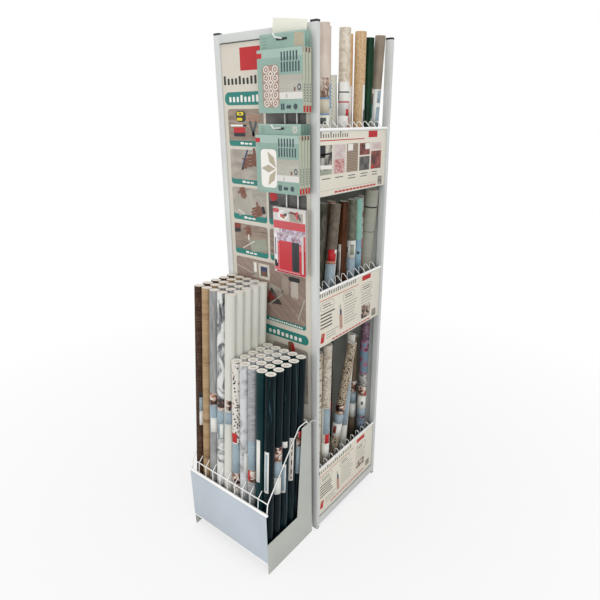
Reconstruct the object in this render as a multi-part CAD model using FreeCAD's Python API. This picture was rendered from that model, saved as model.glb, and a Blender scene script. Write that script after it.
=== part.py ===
import FreeCAD, Part
import math
import os

# Free-standing steel rack for rolls of decor film, in millimetres, +Z up.
# X runs along the printed front, Y from the bin at the front to the back, Z up from the floor.
# The origin is the middle of the stand's footprint, on the floor.

os.makedirs("parts", exist_ok=True)
V = FreeCAD.Vector

# Clearances
FIT = 0.3
SHEET_GAP = 0.3

# Tower frame
TOWER_W = 424.0
TOWER_D = 434.0
POST_X = 25.0
POST_Y = 15.0
TUBE_WALL = 1.5
FOOT_H = 4.0
POST_TOP = 1806.0
CAP_H = 6.0
CAP_PLUG = 20.0
TOP_RAIL_H = 25.0
BASE_RAIL_Z = 14.0
BASE_RAIL_H = 31.0

# Panels of the tower
PANEL_T = 1.5
PANEL_INSET = 4.0
BACK_INSET = 2.0
BACK_TOP = 1520.0
HEM_H = 14.0
HEM_T = 1.2

# Trays: name, then the heights of the printed card's lower edge, the front rod and the floor,
# and how far the dividers reach in from the rod
TRAYS = (
    ("top", 1321.0, 1522.0, 1356.0, 32.0),
    ("middle", 797.0, 1003.0, 827.0, 32.0),
    ("lower", 50.0, 275.0, 62.0, 22.0),
)
TRAY_T = 1.2
TRAY_FLANGE = 15.0
FRONT_T = 1.2
CARD_T = 0.8
CARD_END_GAP = 4.0
CARD_DROP = 7.0
ROD_D = 9.0
ROD_SET_IN = 5.6
DIVIDER_D = 2.8
DIVIDER_PITCH = 38.6
DIVIDER_FIRST = 41.0
DIVIDER_BEND = 7.0

# Bin in front of the tower
BIN_W = 402.0
BIN_D = 279.0
BIN_T = 1.5
BIN_GAP = 20.0
BIN_FRONT_Z = 47.0
BIN_FRONT_TOP = 269.0
BIN_HEM = 10.0
BIN_FLOOR_Z = 107.0
BIN_FLOOR_FLANGE = 18.0
SIDE_STRIP_TOP = 138.0
SIDE_TOP = 517.0
SIDE_TOP_LENGTH = 54.0
SIDE_LEG_LENGTH = 88.0
SIDE_FLANGE = 14.0
BIN_ROD_D = 10.0
BIN_ROD_OVERHANG = 5.0
BIN_WIRE_D = 4.0
FENCE_Z = 310.0
FENCE_BACK = 13.0
REAR_WIRE_Z = 530.0
REAR_WIRE_TO_TOWER = 41.0
SIDE_WIRE_BEND = 14.0
SIDE_WIRE_KNEE = 46.0
SLOT_WIRE_D = 3.0
SLOT_PITCH = 39.0
SLOT_WIRE_FOOT_Z = 232.0
SLOT_WIRE_REACH = 17.0
SLOT_WIRE_RISE = 21.0
HOOK_Z = 509.0
HOOK_TAIL = 30.0
FLANGE_BELOW_HOOK = 12.0
RIVET_D = 5.0
RIVET_H = 0.9
RIVETS_FROM_BACK = ((5.0, 425.0), (5.0, 166.0))
RIVETS_FROM_FRONT = ((24.0, 63.0), (161.0, 56.0))

# Hanging rack on the printed front
RACK_WIRE_D = 4.0
RACK_FROM_SIDE = 99.0
RACK_WIRE_PITCH = 48.0
RACK_LENGTH = 576.0
RACK_OVER = 14.0
RACK_BEND = 2.8
HOOK_DROPS = (38.5, 279.0, 534.0)
HOOK_LENGTHS = (58.0, 74.0, 46.0)
HOOK_TIP = 8.0
HOOK_BEND = 5.0
HEADER_W = 129.0
HEADER_H = 96.0
HEADER_SHIFT = 2.0
HEADER_ABOVE_POSTS = 15.0
HEADER_TILT = 7.0
HEADER_T = 0.8

# Packs of tiles
PACK_W = 174.0
PACK_H = 172.0
PACK_T = 13.2
UPPER_TAB_H = 42.0
LOWER_TAB_H = 31.0
TAB_T = 0.8
HOLE_D = 8.0
HOLE_BELOW_TOP = 13.0
UPPER_HOLE_BELOW_TOP = 17.0
HOLE_WING = 28.0
HOLE_WING_H = 4.5
WINDOW_W = 66.0
WINDOW_H = 116.0
WINDOW_R = 14.0
WINDOW_DEPTH = 0.5
WINDOW_LEFT = 19.0
WINDOW_LOW = 15.0
UPPER_PACK_COUNT = 3
LOWER_PACK_COUNT = 4
LOWER_PACK_SHIFT = -6.0

# Packs of tools
TOOL_W = 137.0
TOOL_H = 221.0
TOOL_CARD_T = 0.6
TOOL_COUNT = 2
BLISTER_W = 119.0
BLISTER_H = 128.0
BLISTER_T = 9.0
BLISTER_LOW = 10.0

# Rolls
BIN_ROLL_D = 36.0
TALL_ROLL = 900.0
SHORT_ROLL = 675.0
TRAY_ROLL = 450.0
TRAY_ROLL_D = 35.0
RIBBED_ROLL_D = 52.0
THIN_ROLL_D = 24.0
TUBE_ROLL = 330.0
TUBE_ROLL_D = 30.0
ROW_PITCH = 38.5
ROWS = 5
TALL_LEAN = 5.2
SHORT_LEAN = 4.0
END_WALL = 4.5
END_RECESS = 1.5

# Places worked out from the sizes above
OVERALL_D = BIN_D + TOWER_D
FACE = BIN_D - OVERALL_D / 2
BACK = FACE + TOWER_D
BIN_FACE = -OVERALL_D / 2 + (BIN_ROD_D - BIN_T) / 2
SIDE = TOWER_W / 2
RACK_X = SIDE - RACK_FROM_SIDE
RACK_BOTTOM = POST_TOP - RACK_LENGTH
HOOK_LEVELS = tuple(POST_TOP - drop for drop in HOOK_DROPS)
HEADER_X = RACK_X + HEADER_SHIFT
HEADER_TOP = POST_TOP + HEADER_ABOVE_POSTS
HEADER_BOTTOM = HEADER_TOP - HEADER_H
POST_INNER_X = SIDE - POST_X
POST_INNER_FRONT = FACE + POST_Y
POST_INNER_BACK = BACK - POST_Y
BIN_BACK = FACE - BIN_GAP
BIN_SIDE_IN = BIN_W / 2 - BIN_T
ROD_X = SIDE - ROD_SET_IN
FRONT_WALL_X = ROD_X - FRONT_T
FENCE_Y = BIN_FACE + BIN_T + FENCE_BACK
REAR_WIRE_Y = FACE - REAR_WIRE_TO_TOWER
PRINT_FACE = FACE + PANEL_INSET
BACK_PANEL_IN = BACK - BACK_INSET - PANEL_T
DIVIDER_COUNT = int((TOWER_D - POST_Y - DIVIDER_FIRST) / DIVIDER_PITCH) + 1
RACK_Y = FACE - FIT - RACK_WIRE_D / 2
BAR_Y = RACK_Y - RACK_WIRE_D
HEADER_BACK = BAR_Y - RACK_WIRE_D / 2 - FIT
PACK_BACK = HEADER_BACK - HEADER_T - FIT


def box(x0, x1, y0, y1, z0, z1):
    return Part.makeBox(x1 - x0, y1 - y0, z1 - z0, V(x0, y0, z0))


def tube(x0, x1, y0, y1, z0, z1, axis):
    """Rectangular tube, open at both ends along its axis."""
    outer = box(x0, x1, y0, y1, z0, z1)
    wall = TUBE_WALL
    if axis == "x":
        bore = box(x0, x1, y0 + wall, y1 - wall, z0 + wall, z1 - wall)
    elif axis == "y":
        bore = box(x0 + wall, x1 - wall, y0, y1, z0 + wall, z1 - wall)
    else:
        bore = box(x0 + wall, x1 - wall, y0 + wall, y1 - wall, z0, z1)
    return outer.cut(bore)


def rod(start, end, diameter):
    along = end - start
    return Part.makeCylinder(diameter / 2, along.Length, start, along)


def bent_rod(points, bend, diameter):
    """Round wire through the points, each inner point rounded with the bend radius."""
    edges = []
    start = points[0]
    for before, corner, after in zip(points, points[1:], points[2:]):
        back = (before - corner).normalize()
        ahead = (after - corner).normalize()
        half = back.getAngle(ahead) / 2
        run = bend / math.tan(half)
        inward = (back + ahead).normalize()
        first = corner + back * run
        last = corner + ahead * run
        middle = corner + inward * (bend / math.sin(half) - bend)
        edges.append(Part.makeLine(start, first))
        edges.append(Part.Arc(first, middle, last).toShape())
        start = last
    edges.append(Part.makeLine(start, points[-1]))
    section = Part.Wire(Part.makeCircle(diameter / 2, points[0], points[1] - points[0]))
    return Part.Wire(edges).makePipeShell([section], True, True)


def save(name, *solids):
    shape = solids[0] if len(solids) == 1 else Part.makeCompound(list(solids))
    shape.exportStep("parts/" + name + ".step")


def post_corners():
    """Low corner of each post's section, with its name."""
    for side, x in (("left", -SIDE), ("right", POST_INNER_X)):
        yield "front_" + side, x, FACE
        yield "rear_" + side, x, POST_INNER_BACK


def posts_and_ends():
    caps = []
    feet = []
    inset = TUBE_WALL + FIT
    for name, x, y in post_corners():
        save("post_" + name, tube(x, x + POST_X, y, y + POST_Y, FOOT_H, POST_TOP, "z"))
        head = box(x, x + POST_X, y, y + POST_Y, POST_TOP, POST_TOP + CAP_H)
        low = POST_TOP - CAP_PLUG
        plug = box(x + inset, x + POST_X - inset, y + inset, y + POST_Y - inset, low, POST_TOP)
        caps.append(head.fuse(plug).removeSplitter())
        sole = box(x, x + POST_X, y, y + POST_Y, 0, FOOT_H)
        top = FOOT_H + CAP_PLUG
        stub = box(x + inset, x + POST_X - inset, y + inset, y + POST_Y - inset, FOOT_H, top)
        feet.append(sole.fuse(stub).removeSplitter())
    save("post_caps", *caps)
    save("post_feet", *feet)


def rails():
    low = POST_TOP - TOP_RAIL_H
    front = tube(-POST_INNER_X, POST_INNER_X, FACE, POST_INNER_FRONT, low, POST_TOP, "x")
    save("front_top_rail", front)
    z0 = BASE_RAIL_Z
    z1 = BASE_RAIL_Z + BASE_RAIL_H
    across = [
        tube(-POST_INNER_X, POST_INNER_X, FACE, POST_INNER_FRONT, z0, z1, "x"),
        tube(-POST_INNER_X, POST_INNER_X, POST_INNER_BACK, BACK, z0, z1, "x"),
    ]
    along = [
        tube(-SIDE, -SIDE + POST_Y, POST_INNER_FRONT, POST_INNER_BACK, z0, z1, "y"),
        tube(SIDE - POST_Y, SIDE, POST_INNER_FRONT, POST_INNER_BACK, z0, z1, "y"),
    ]
    save("base_rails_across", *across)
    save("base_rails_along", *along)


def panels():
    z0 = BASE_RAIL_Z + BASE_RAIL_H
    half = POST_INNER_X - FIT
    top = POST_TOP - TOP_RAIL_H - FIT
    save("front_panel", box(-half, half, PRINT_FACE, PRINT_FACE + PANEL_T, z0, top))
    back = box(-half, half, BACK_PANEL_IN, BACK_PANEL_IN + PANEL_T, z0, BACK_TOP)
    outer = BACK_PANEL_IN + PANEL_T
    hem = box(-half, half, outer, outer + HEM_T, BACK_TOP - HEM_H, BACK_TOP)
    save("rear_panel", back.fuse(hem).removeSplitter())
    y0 = POST_INNER_FRONT + FIT
    y1 = POST_INNER_BACK - FIT
    outer = -SIDE + BACK_INSET
    side = box(outer, outer + PANEL_T, y0, y1, z0, BACK_TOP)
    hem = box(outer - HEM_T, outer, y0, y1, BACK_TOP - HEM_H, BACK_TOP)
    save("left_panel", side.fuse(hem).removeSplitter())


def tray_floor(floor_z):
    """Pan notched round the posts, with its front and back edges folded down."""
    z0 = floor_z - TRAY_T
    x_post = POST_INNER_X - FIT
    y_front = PRINT_FACE + PANEL_T + FIT
    y_back = BACK_PANEL_IN - FIT
    x_left = -SIDE + BACK_INSET + PANEL_T + FIT
    x_right = FRONT_WALL_X - FIT
    deep = box(-x_post, x_post, y_front, y_back, z0, floor_z)
    wide = box(x_left, x_right, POST_INNER_FRONT + FIT, POST_INNER_BACK - FIT, z0, floor_z)
    front = box(-x_post, x_post, y_front, y_front + TRAY_T, z0 - TRAY_FLANGE, z0)
    back = box(-x_post, x_post, y_back - TRAY_T, y_back, z0 - TRAY_FLANGE, z0)
    return deep.fuse([wide, front, back]).removeSplitter()


def divider_wires(rod_z, floor_z, reach):
    """Wires welded to the front rod, rising inwards, then bent down to the tray's floor."""
    wires = []
    lean = math.sqrt(0.5) * ROD_D / 2
    for index in range(DIVIDER_COUNT):
        y = FACE + DIVIDER_FIRST + index * DIVIDER_PITCH
        start = V(ROD_X - lean, y, rod_z + lean)
        bend = V(ROD_X - reach, y, rod_z + reach)
        foot = V(ROD_X - reach, y, floor_z)
        wires.append(bent_rod([start, bend, foot], DIVIDER_BEND, DIVIDER_D))
    return wires


def trays():
    y0 = POST_INNER_FRONT + FIT
    y1 = POST_INNER_BACK - FIT
    for name, card_z, rod_z, floor_z, reach in TRAYS:
        save("tray_floor_" + name, tray_floor(floor_z))
        wall_top = rod_z - ROD_D / 2
        wall = box(FRONT_WALL_X, ROD_X, y0, y1, card_z, wall_top)
        save("tray_front_" + name, wall)
        save("tray_rod_" + name, rod(V(ROD_X, y0, rod_z), V(ROD_X, y1, rod_z), ROD_D))
        save("tray_dividers_" + name, *divider_wires(rod_z, floor_z, reach))
        front = ROD_X + SHEET_GAP
        ends = (y0 + CARD_END_GAP, y1 - CARD_END_GAP)
        card = box(front, front + CARD_T, ends[0], ends[1], card_z + 1, rod_z - CARD_DROP)
        save("tray_card_" + name, card)


def bin_side(side):
    """L-shaped plate: a low strip that stands on the floor and an upright at the back.

    The upright's rear edge is folded inwards up to just below the hook.
    """
    outline = [
        V(0, BIN_FACE + BIN_T, 0),
        V(0, BIN_BACK, 0),
        V(0, BIN_BACK, SIDE_TOP),
        V(0, BIN_BACK - SIDE_TOP_LENGTH, SIDE_TOP),
        V(0, BIN_BACK - SIDE_LEG_LENGTH, SIDE_STRIP_TOP),
        V(0, BIN_FACE + BIN_T, SIDE_STRIP_TOP),
        V(0, BIN_FACE + BIN_T, 0),
    ]
    plate = Part.Face(Part.makePolygon(outline)).extrude(V(BIN_T, 0, 0))
    flange = box(BIN_T - SIDE_FLANGE, 0, BIN_BACK - BIN_T, BIN_BACK, 0, HOOK_Z - FLANGE_BELOW_HOOK)
    plate = plate.fuse(flange).removeSplitter()
    if side > 0:
        plate.translate(V(BIN_SIDE_IN, 0, 0))
        return plate
    plate = plate.mirror(V(0, 0, 0), V(1, 0, 0))
    plate.translate(V(-BIN_SIDE_IN, 0, 0))
    return plate


def bin_plates():
    save("bin_side_left", bin_side(-1))
    save("bin_side_right", bin_side(1))
    half = BIN_W / 2
    front = box(-half, half, BIN_FACE, BIN_FACE + BIN_T, BIN_FRONT_Z, BIN_FRONT_TOP)
    inner = BIN_SIDE_IN - FIT
    hem = box(-inner, inner, BIN_FACE + BIN_T, BIN_FACE + BIN_HEM, BIN_FRONT_Z, BIN_FRONT_Z + BIN_T)
    save("bin_front_panel", front.fuse(hem).removeSplitter())
    z0 = BIN_FLOOR_Z - BIN_T
    y0 = BIN_FACE + BIN_T
    y1 = BIN_BACK - BIN_T - FIT
    floor = box(-inner, inner, y0, y1, z0, BIN_FLOOR_Z)
    flange = box(-inner, inner, y1 - BIN_T, y1, z0 - BIN_FLOOR_FLANGE, z0)
    save("bin_floor", floor.fuse(flange).removeSplitter())


def bin_rods():
    rod_y = BIN_FACE + BIN_T / 2
    rod_z = BIN_FRONT_TOP + BIN_ROD_D / 2
    half = BIN_W / 2 + BIN_ROD_OVERHANG
    save("bin_front_rod", rod(V(-half, rod_y, rod_z), V(half, rod_y, rod_z), BIN_ROD_D))
    side_x = BIN_SIDE_IN - FIT - BIN_WIRE_D / 2
    inner = side_x - BIN_WIRE_D / 2
    fence = rod(V(-inner, FENCE_Y, FENCE_Z), V(inner, FENCE_Y, FENCE_Z), BIN_WIRE_D)
    rear = rod(V(-inner, REAR_WIRE_Y, REAR_WIRE_Z), V(inner, REAR_WIRE_Y, REAR_WIRE_Z), BIN_WIRE_D)
    save("bin_cross_wires", fence, rear)
    foot_y = rod_y + BIN_ROD_D / 2 + BIN_WIRE_D / 2
    knee_y = REAR_WIRE_Y - SIDE_WIRE_KNEE
    heel_y = REAR_WIRE_Y + BIN_WIRE_D
    wires = []
    for x in (-side_x, side_x):
        points = [
            V(x, foot_y, rod_z - BIN_ROD_D),
            V(x, FENCE_Y, FENCE_Z),
            V(x, knee_y, REAR_WIRE_Z - 4),
            V(x, heel_y, REAR_WIRE_Z),
            V(x, heel_y, SIDE_STRIP_TOP + SIDE_TOP / 2),
        ]
        wires.append(bent_rod(points, SIDE_WIRE_BEND, BIN_WIRE_D))
    save("bin_side_wires", *wires)


def bin_slot_wires():
    """Thin wires behind the front panel that part the columns of rolls."""
    wires = []
    panel_back = BIN_FACE + BIN_T + SLOT_WIRE_D / 2
    rod_back = BIN_FACE + (BIN_T + BIN_ROD_D + SLOT_WIRE_D) / 2 + FIT
    fence_front = FENCE_Y - BIN_WIRE_D / 2 - SLOT_WIRE_D / 2
    count = round(BIN_W / SLOT_PITCH) - 1
    for index in range(count):
        x = (index - (count - 1) / 2) * SLOT_PITCH
        tip_y = FENCE_Y + SLOT_WIRE_REACH
        knee_z = FENCE_Z + BIN_WIRE_D
        points = [
            V(x, panel_back, SLOT_WIRE_FOOT_Z),
            V(x, rod_back, BIN_FRONT_TOP + BIN_ROD_D / 2),
            V(x, fence_front, knee_z),
            V(x, tip_y, knee_z + SLOT_WIRE_RISE),
        ]
        wires.append(bent_rod(points, SLOT_WIRE_D * 2, SLOT_WIRE_D))
    save("bin_slot_wires", *wires)


def bin_hooks_and_rivets():
    """Wire hooks that hold the bin to the front posts, and the rivets of its side plates."""
    hooks = []
    rivets = []
    post_y = FACE - FIT - BIN_WIRE_D / 2
    hook_x = BIN_SIDE_IN - FIT - BIN_WIRE_D / 2
    heel_y = REAR_WIRE_Y + BIN_WIRE_D
    places = [(BIN_BACK - inset, z) for inset, z in RIVETS_FROM_BACK]
    places += [(BIN_FACE + inset, z) for inset, z in RIVETS_FROM_FRONT]
    for side in (-1, 1):
        points = [
            V(side * (hook_x - BIN_WIRE_D), heel_y, HOOK_Z - HOOK_TAIL),
            V(side * (hook_x - BIN_WIRE_D), heel_y, HOOK_Z),
            V(side * (hook_x - BIN_WIRE_D), post_y, HOOK_Z),
            V(side * (SIDE - BIN_WIRE_D), post_y, HOOK_Z + 3),
        ]
        hooks.append(bent_rod(points, BIN_WIRE_D, BIN_WIRE_D))
        for y, z in places:
            head = Part.makeCylinder(RIVET_D / 2, RIVET_H, V(side * BIN_W / 2, y, z), V(side, 0, 0))
            rim = max(head.Edges, key=lambda edge: edge.CenterOfMass.x * side)
            rivets.append(head.makeFillet(RIVET_H * 0.6, [rim]))
    save("bin_hooks", *hooks)
    save("bin_rivets", *rivets)


def hanging_rack():
    wires = []
    bars = []
    hooks = []
    top = POST_TOP + FIT + RACK_WIRE_D / 2
    behind = POST_INNER_FRONT + FIT + RACK_WIRE_D / 2
    for side in (-1, 1):
        x = RACK_X + side * RACK_WIRE_PITCH / 2
        points = [
            V(x, RACK_Y, RACK_BOTTOM),
            V(x, RACK_Y, top),
            V(x, behind, top),
            V(x, behind, top - RACK_OVER),
        ]
        wires.append(bent_rod(points, RACK_BEND, RACK_WIRE_D))
    half = (RACK_WIRE_PITCH + RACK_WIRE_D) / 2
    for z, length in zip(HOOK_LEVELS, HOOK_LENGTHS):
        bars.append(rod(V(RACK_X - half, BAR_Y, z), V(RACK_X + half, BAR_Y, z), RACK_WIRE_D))
        start = V(RACK_X, BAR_Y - RACK_WIRE_D / 2, z)
        tip = V(RACK_X, start.y - length, z)
        hooks.append(bent_rod([start, tip, tip + V(0, -HOOK_TIP, HOOK_TIP)], HOOK_BEND, RACK_WIRE_D))
    save("rack_wires", *wires)
    save("rack_bars", *bars)
    save("rack_hooks", *hooks)


def hang_hole(x, y, z, depth):
    """Round hole with two flat wings, cut through a hanging tab."""
    hole = Part.makeCylinder(HOLE_D / 2, depth, V(x, y, z), V(0, 1, 0))
    half = HOLE_WING / 2
    wings = box(x - half, x + half, y, y + depth, z - HOLE_WING_H / 2 - 1, z + HOLE_WING_H / 2 - 1)
    return hole.fuse(wings).removeSplitter()


def header_card():
    """Card that hangs a little askew on the top hook."""
    front = HEADER_BACK - HEADER_T
    half = HEADER_W / 2
    card = box(HEADER_X - half, HEADER_X + half, front, HEADER_BACK, HEADER_BOTTOM, HEADER_TOP)
    hole = Part.makeCylinder(HOLE_D / 2, HEADER_T, V(RACK_X, front, HOOK_LEVELS[0]), V(0, 1, 0))
    card = card.cut(hole)
    card.rotate(V(RACK_X, front, HOOK_LEVELS[0]), V(0, 1, 0), HEADER_TILT)
    save("header_card", card)


def tile_pack(back, hook_z, shift, tab_h, hole_below_top, with_window):
    """Flat carton with a single-board hanging tab above its back face."""
    x0 = RACK_X + shift - PACK_W / 2
    x1 = x0 + PACK_W
    hole_z = hook_z + RACK_WIRE_D / 2 + FIT - HOLE_D / 2
    tab_top = hole_z + hole_below_top
    top = tab_top - tab_h
    low = top - PACK_H
    body = box(x0, x1, back - PACK_T, back, low, top)
    tab = box(x0 + 2, x1 - 2, back - TAB_T, back, top, tab_top)
    pack = body.fuse(tab).removeSplitter()
    pack = pack.cut(hang_hole(RACK_X, back - TAB_T, hole_z, TAB_T))
    if with_window:
        front = back - PACK_T
        left = x0 + WINDOW_LEFT
        sill = low + WINDOW_LOW
        window = box(left, left + WINDOW_W, front, front + WINDOW_DEPTH, sill, sill + WINDOW_H)
        upright = [edge for edge in window.Edges if abs(edge.tangentAt(edge.FirstParameter).y) > 0.9]
        pack = pack.cut(window.makeFillet(WINDOW_R, upright))
    return pack


def tile_packs():
    stacks = (
        ("upper", UPPER_PACK_COUNT, (HOOK_LEVELS[0], 0, UPPER_TAB_H, UPPER_HOLE_BELOW_TOP)),
        ("lower", LOWER_PACK_COUNT, (HOOK_LEVELS[1], LOWER_PACK_SHIFT, LOWER_TAB_H, HOLE_BELOW_TOP)),
    )
    for name, count, hanging in stacks:
        packs = []
        for index in range(count):
            back = PACK_BACK - index * (PACK_T + SHEET_GAP)
            packs.append(tile_pack(back, *hanging, index == count - 1))
        save("tile_packs_" + name, *packs)


def tool_packs():
    """Printed header cards, each with a clear blister of small tools."""
    packs = []
    for index in range(TOOL_COUNT):
        back = PACK_BACK - index * (TOOL_CARD_T + BLISTER_T + SHEET_GAP)
        front = back - TOOL_CARD_T
        hole_z = HOOK_LEVELS[2] + RACK_WIRE_D / 2 + FIT - HOLE_D / 2
        top = hole_z + HOLE_BELOW_TOP
        card = box(RACK_X - TOOL_W / 2, RACK_X + TOOL_W / 2, front, back, top - TOOL_H, top)
        card = card.cut(hang_hole(RACK_X, front, hole_z, TOOL_CARD_T))
        half = BLISTER_W / 2
        low = top - TOOL_H + BLISTER_LOW
        blister = box(RACK_X - half, RACK_X + half, front - BLISTER_T, front, low, low + BLISTER_H)
        upright = [edge for edge in blister.Edges if abs(edge.tangentAt(edge.FirstParameter).y) > 0.9]
        packs.append(card.fuse(blister.makeFillet(BLISTER_T, upright)).removeSplitter())
    save("tool_packs", *packs)


def roll(x, y, floor_z, length, diameter, lean_back=0.0, lean_right=0.0):
    """Film roll standing on the rim of its lower end, leaning to the back and to the right."""
    along = V(math.tan(math.radians(lean_right)), math.tan(math.radians(lean_back)), 1).normalize()
    radius = diameter / 2
    lift = radius * math.sqrt(1 - along.z ** 2)
    foot = V(x, y, floor_z + lift)
    body = Part.makeCylinder(radius, length, foot, along)
    recess = Part.makeCylinder(radius - END_WALL, END_RECESS, foot + along * (length - END_RECESS), along)
    return body.cut(recess)


def bin_roll_columns():
    """Columns of rolls, as many as the bin's width holds, the last row of each leaning on the rear wire."""
    kinds = (
        ("tall", TALL_ROLL, TALL_LEAN, ("dark_wood", "light_wood", "grey", "bold_marble", "white")),
        ("short", SHORT_ROLL, SHORT_LEAN, ("terrazzo", "pale_marble", "silver", "green", "navy")),
    )
    wire_face = REAR_WIRE_Y - BIN_WIRE_D / 2 - FIT
    side_wire_face = BIN_SIDE_IN - FIT - BIN_WIRE_D
    column = 0
    for kind, length, lean, designs in kinds:
        slope = math.radians(lean)
        axis_at_wire = wire_face - BIN_ROLL_D / 2 / math.cos(slope)
        last = axis_at_wire - (REAR_WIRE_Z - BIN_FLOOR_Z) * math.tan(slope)
        for design in designs:
            x = (column - 4.5) * SLOT_PITCH
            column += 1
            if abs(x) + BIN_ROLL_D / 2 > side_wire_face:
                continue
            rows = [last - (ROWS - 1 - row) * ROW_PITCH for row in range(ROWS)]
            rolls = [roll(x, y, BIN_FLOOR_Z, length, BIN_ROLL_D, lean) for y in rows]
            save("rolls_" + kind + "_" + design, *rolls)


def slot(index):
    """Distance from the tower's face to the middle of a space between two divider wires."""
    return DIVIDER_FIRST + (index + 0.5) * DIVIDER_PITCH


def tray_rolls():
    """Single rolls in the trays, as many as the depth of the tray holds.

    Each line: distance inside the front rod, distance behind the tower's face, length, diameter,
    lean to the back and lean to the right in degrees.
    """
    small = TRAY_ROLL_D
    last_divider = DIVIDER_FIRST + (DIVIDER_COUNT - 1) * DIVIDER_PITCH
    stock = {
        "top": (
            (43.4, 99, TRAY_ROLL + 13, small, 0, 0),
            (64.4, 134, TRAY_ROLL + 10, small, 0, 0),
            (87.9, 215, TUBE_ROLL, TUBE_ROLL_D, -2, 0),
            (52.4, 216, TRAY_ROLL + 15, small + 2, 0.8, 0),
            (87.4, 296, TRAY_ROLL + 8, small, -0.8, 0),
            (53.4, 312, TRAY_ROLL + 15, small + 3, 0.4, 0),
            (51.4, 361, TRAY_ROLL + 2, small, 0.5, 0),
            (58.4, last_divider + 20, TRAY_ROLL + 12, small + 1, 0, 3),
        ),
        "middle": (
            (91.4, 133, TRAY_ROLL, small, 3.5, 0),
            (53.9, 125.5, TRAY_ROLL, small + 3, 7.5, 0),
            (94.4, 190, TRAY_ROLL, small, 3, 0),
            (56.4, 221, TRAY_ROLL, small, 2.5, 0),
            (56.4, 286, TRAY_ROLL, small, 1, 0),
            (56.4, 337, TRAY_ROLL, small - 2, -0.5, 0),
            (65.4, 364.5, TRAY_ROLL + 5, THIN_ROLL_D, 0, 0),
            (73.9, last_divider + 14.6, TRAY_ROLL + 25, RIBBED_ROLL_D, 0, 4),
        ),
        "lower": (
            (56.4, 66, SHORT_ROLL, small, 1.9, 0),
            (42.4, 104.5, SHORT_ROLL + 25, small + 2, 1.9, 0),
            (114.4, 228, SHORT_ROLL, small, 0.5, 0),
            (71.4, 167, SHORT_ROLL - 13, small + 3, 9.3, 3.8),
            (56.4, 239, SHORT_ROLL, small, 6.1, 0),
            (94.4, 388, SHORT_ROLL - 50, small, 0.5, 0),
            (48.4, 386, SHORT_ROLL + 25, small + 2, 1.6, 0),
        ),
    }
    for name, _, _, floor_z, _ in TRAYS:
        rolls = []
        for inside, behind, length, diameter, lean_back, lean_right in stock[name]:
            top_shift = length * math.tan(math.radians(max(lean_back, 0)))
            if FACE + behind + top_shift + diameter / 2 < BACK_PANEL_IN:
                place = (ROD_X - inside, FACE + behind, floor_z)
                rolls.append(roll(*place, length, diameter, lean_back, lean_right))
        save("rolls_tray_" + name, *rolls)


posts_and_ends()
rails()
panels()
trays()
bin_plates()
bin_rods()
bin_slot_wires()
bin_hooks_and_rivets()
hanging_rack()
header_card()
tile_packs()
tool_packs()
bin_roll_columns()
tray_rolls()
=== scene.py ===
import bpy
import math
import random
from mathutils import Matrix, Vector


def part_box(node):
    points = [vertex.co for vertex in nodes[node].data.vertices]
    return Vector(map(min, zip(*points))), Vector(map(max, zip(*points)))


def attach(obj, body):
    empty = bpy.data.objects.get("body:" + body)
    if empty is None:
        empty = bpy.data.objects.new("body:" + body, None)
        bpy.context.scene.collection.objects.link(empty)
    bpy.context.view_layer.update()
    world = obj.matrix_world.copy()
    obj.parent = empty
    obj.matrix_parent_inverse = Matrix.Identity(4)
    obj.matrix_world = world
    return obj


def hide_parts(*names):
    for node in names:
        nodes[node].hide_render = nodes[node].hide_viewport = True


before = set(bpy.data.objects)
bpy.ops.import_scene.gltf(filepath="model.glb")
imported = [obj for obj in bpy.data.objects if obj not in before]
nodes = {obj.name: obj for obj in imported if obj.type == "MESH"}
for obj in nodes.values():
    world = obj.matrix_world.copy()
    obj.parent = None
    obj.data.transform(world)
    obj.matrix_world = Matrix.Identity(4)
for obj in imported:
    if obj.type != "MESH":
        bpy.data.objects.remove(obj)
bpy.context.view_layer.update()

# Tower frame: four drawn steel tubes with rails between them, all under a white powder coat
# with a faint cool cast. The coat is satin, with the fine orange peel of a baked finish.


def tone(red, green, blue):
    """A colour as it is seen, each part from 0 to 255, as the light value a shader takes."""
    parts = [value / 255 for value in (red, green, blue)]
    return tuple(p / 12.92 if p <= 0.04 else ((p + 0.055) / 1.055) ** 2.4 for p in parts) + (1,)


def new_material(name, roughness, **gloss):
    made = bpy.data.materials.new(name)
    made.use_nodes = True
    shader = made.node_tree.nodes["Principled BSDF"]
    shader.inputs["Roughness"].default_value = roughness
    for socket, value in gloss.items():
        shader.inputs[socket.replace("_", " ")].default_value = value
    return made


def plug(made, value, socket):
    if isinstance(value, bpy.types.NodeSocket):
        made.node_tree.links.new(value, socket)
    else:
        socket.default_value = value


def add_node(made, kind, inputs=(), **settings):
    added = made.node_tree.nodes.new("ShaderNode" + kind)
    for setting, value in settings.items():
        setattr(added, setting, value)
    for socket, value in dict(inputs).items():
        plug(made, value, added.inputs[socket])
    return added


def placed(made, stretch=(1, 1, 1), turn=(0, 0, 0)):
    """The point on the object, stretched and turned for a pattern."""
    where = add_node(made, "TexCoord").outputs["Object"]
    return add_node(made, "Mapping", {"Vector": where, "Scale": stretch, "Rotation": turn}).outputs[0]


def cloud(made, where, scale, detail=3, distortion=0, roughness=0.5):
    inputs = {"Vector": where, "Scale": scale, "Detail": detail, "Distortion": distortion,
        "Roughness": roughness}
    return add_node(made, "TexNoise", inputs).outputs[0]


def blend(made, factor, first, second, way="MIX"):
    mix = add_node(made, "Mix", data_type="RGBA", blend_type=way)
    for index, value in ((0, factor), (6, first), (7, second)):
        plug(made, value, mix.inputs[index])
    return mix.outputs[2]


def graded(made, factor, *stops, way="LINEAR"):
    ramp = add_node(made, "ValToRGB", {0: factor})
    ramp.color_ramp.interpolation = way
    points = ramp.color_ramp.elements
    while len(points) < len(stops):
        points.new(1)
    for point, (position, colour) in zip(points, stops):
        point.position = position
        point.color = colour if len(colour) == 4 else tone(*colour)
    return ramp.outputs[0]


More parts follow.
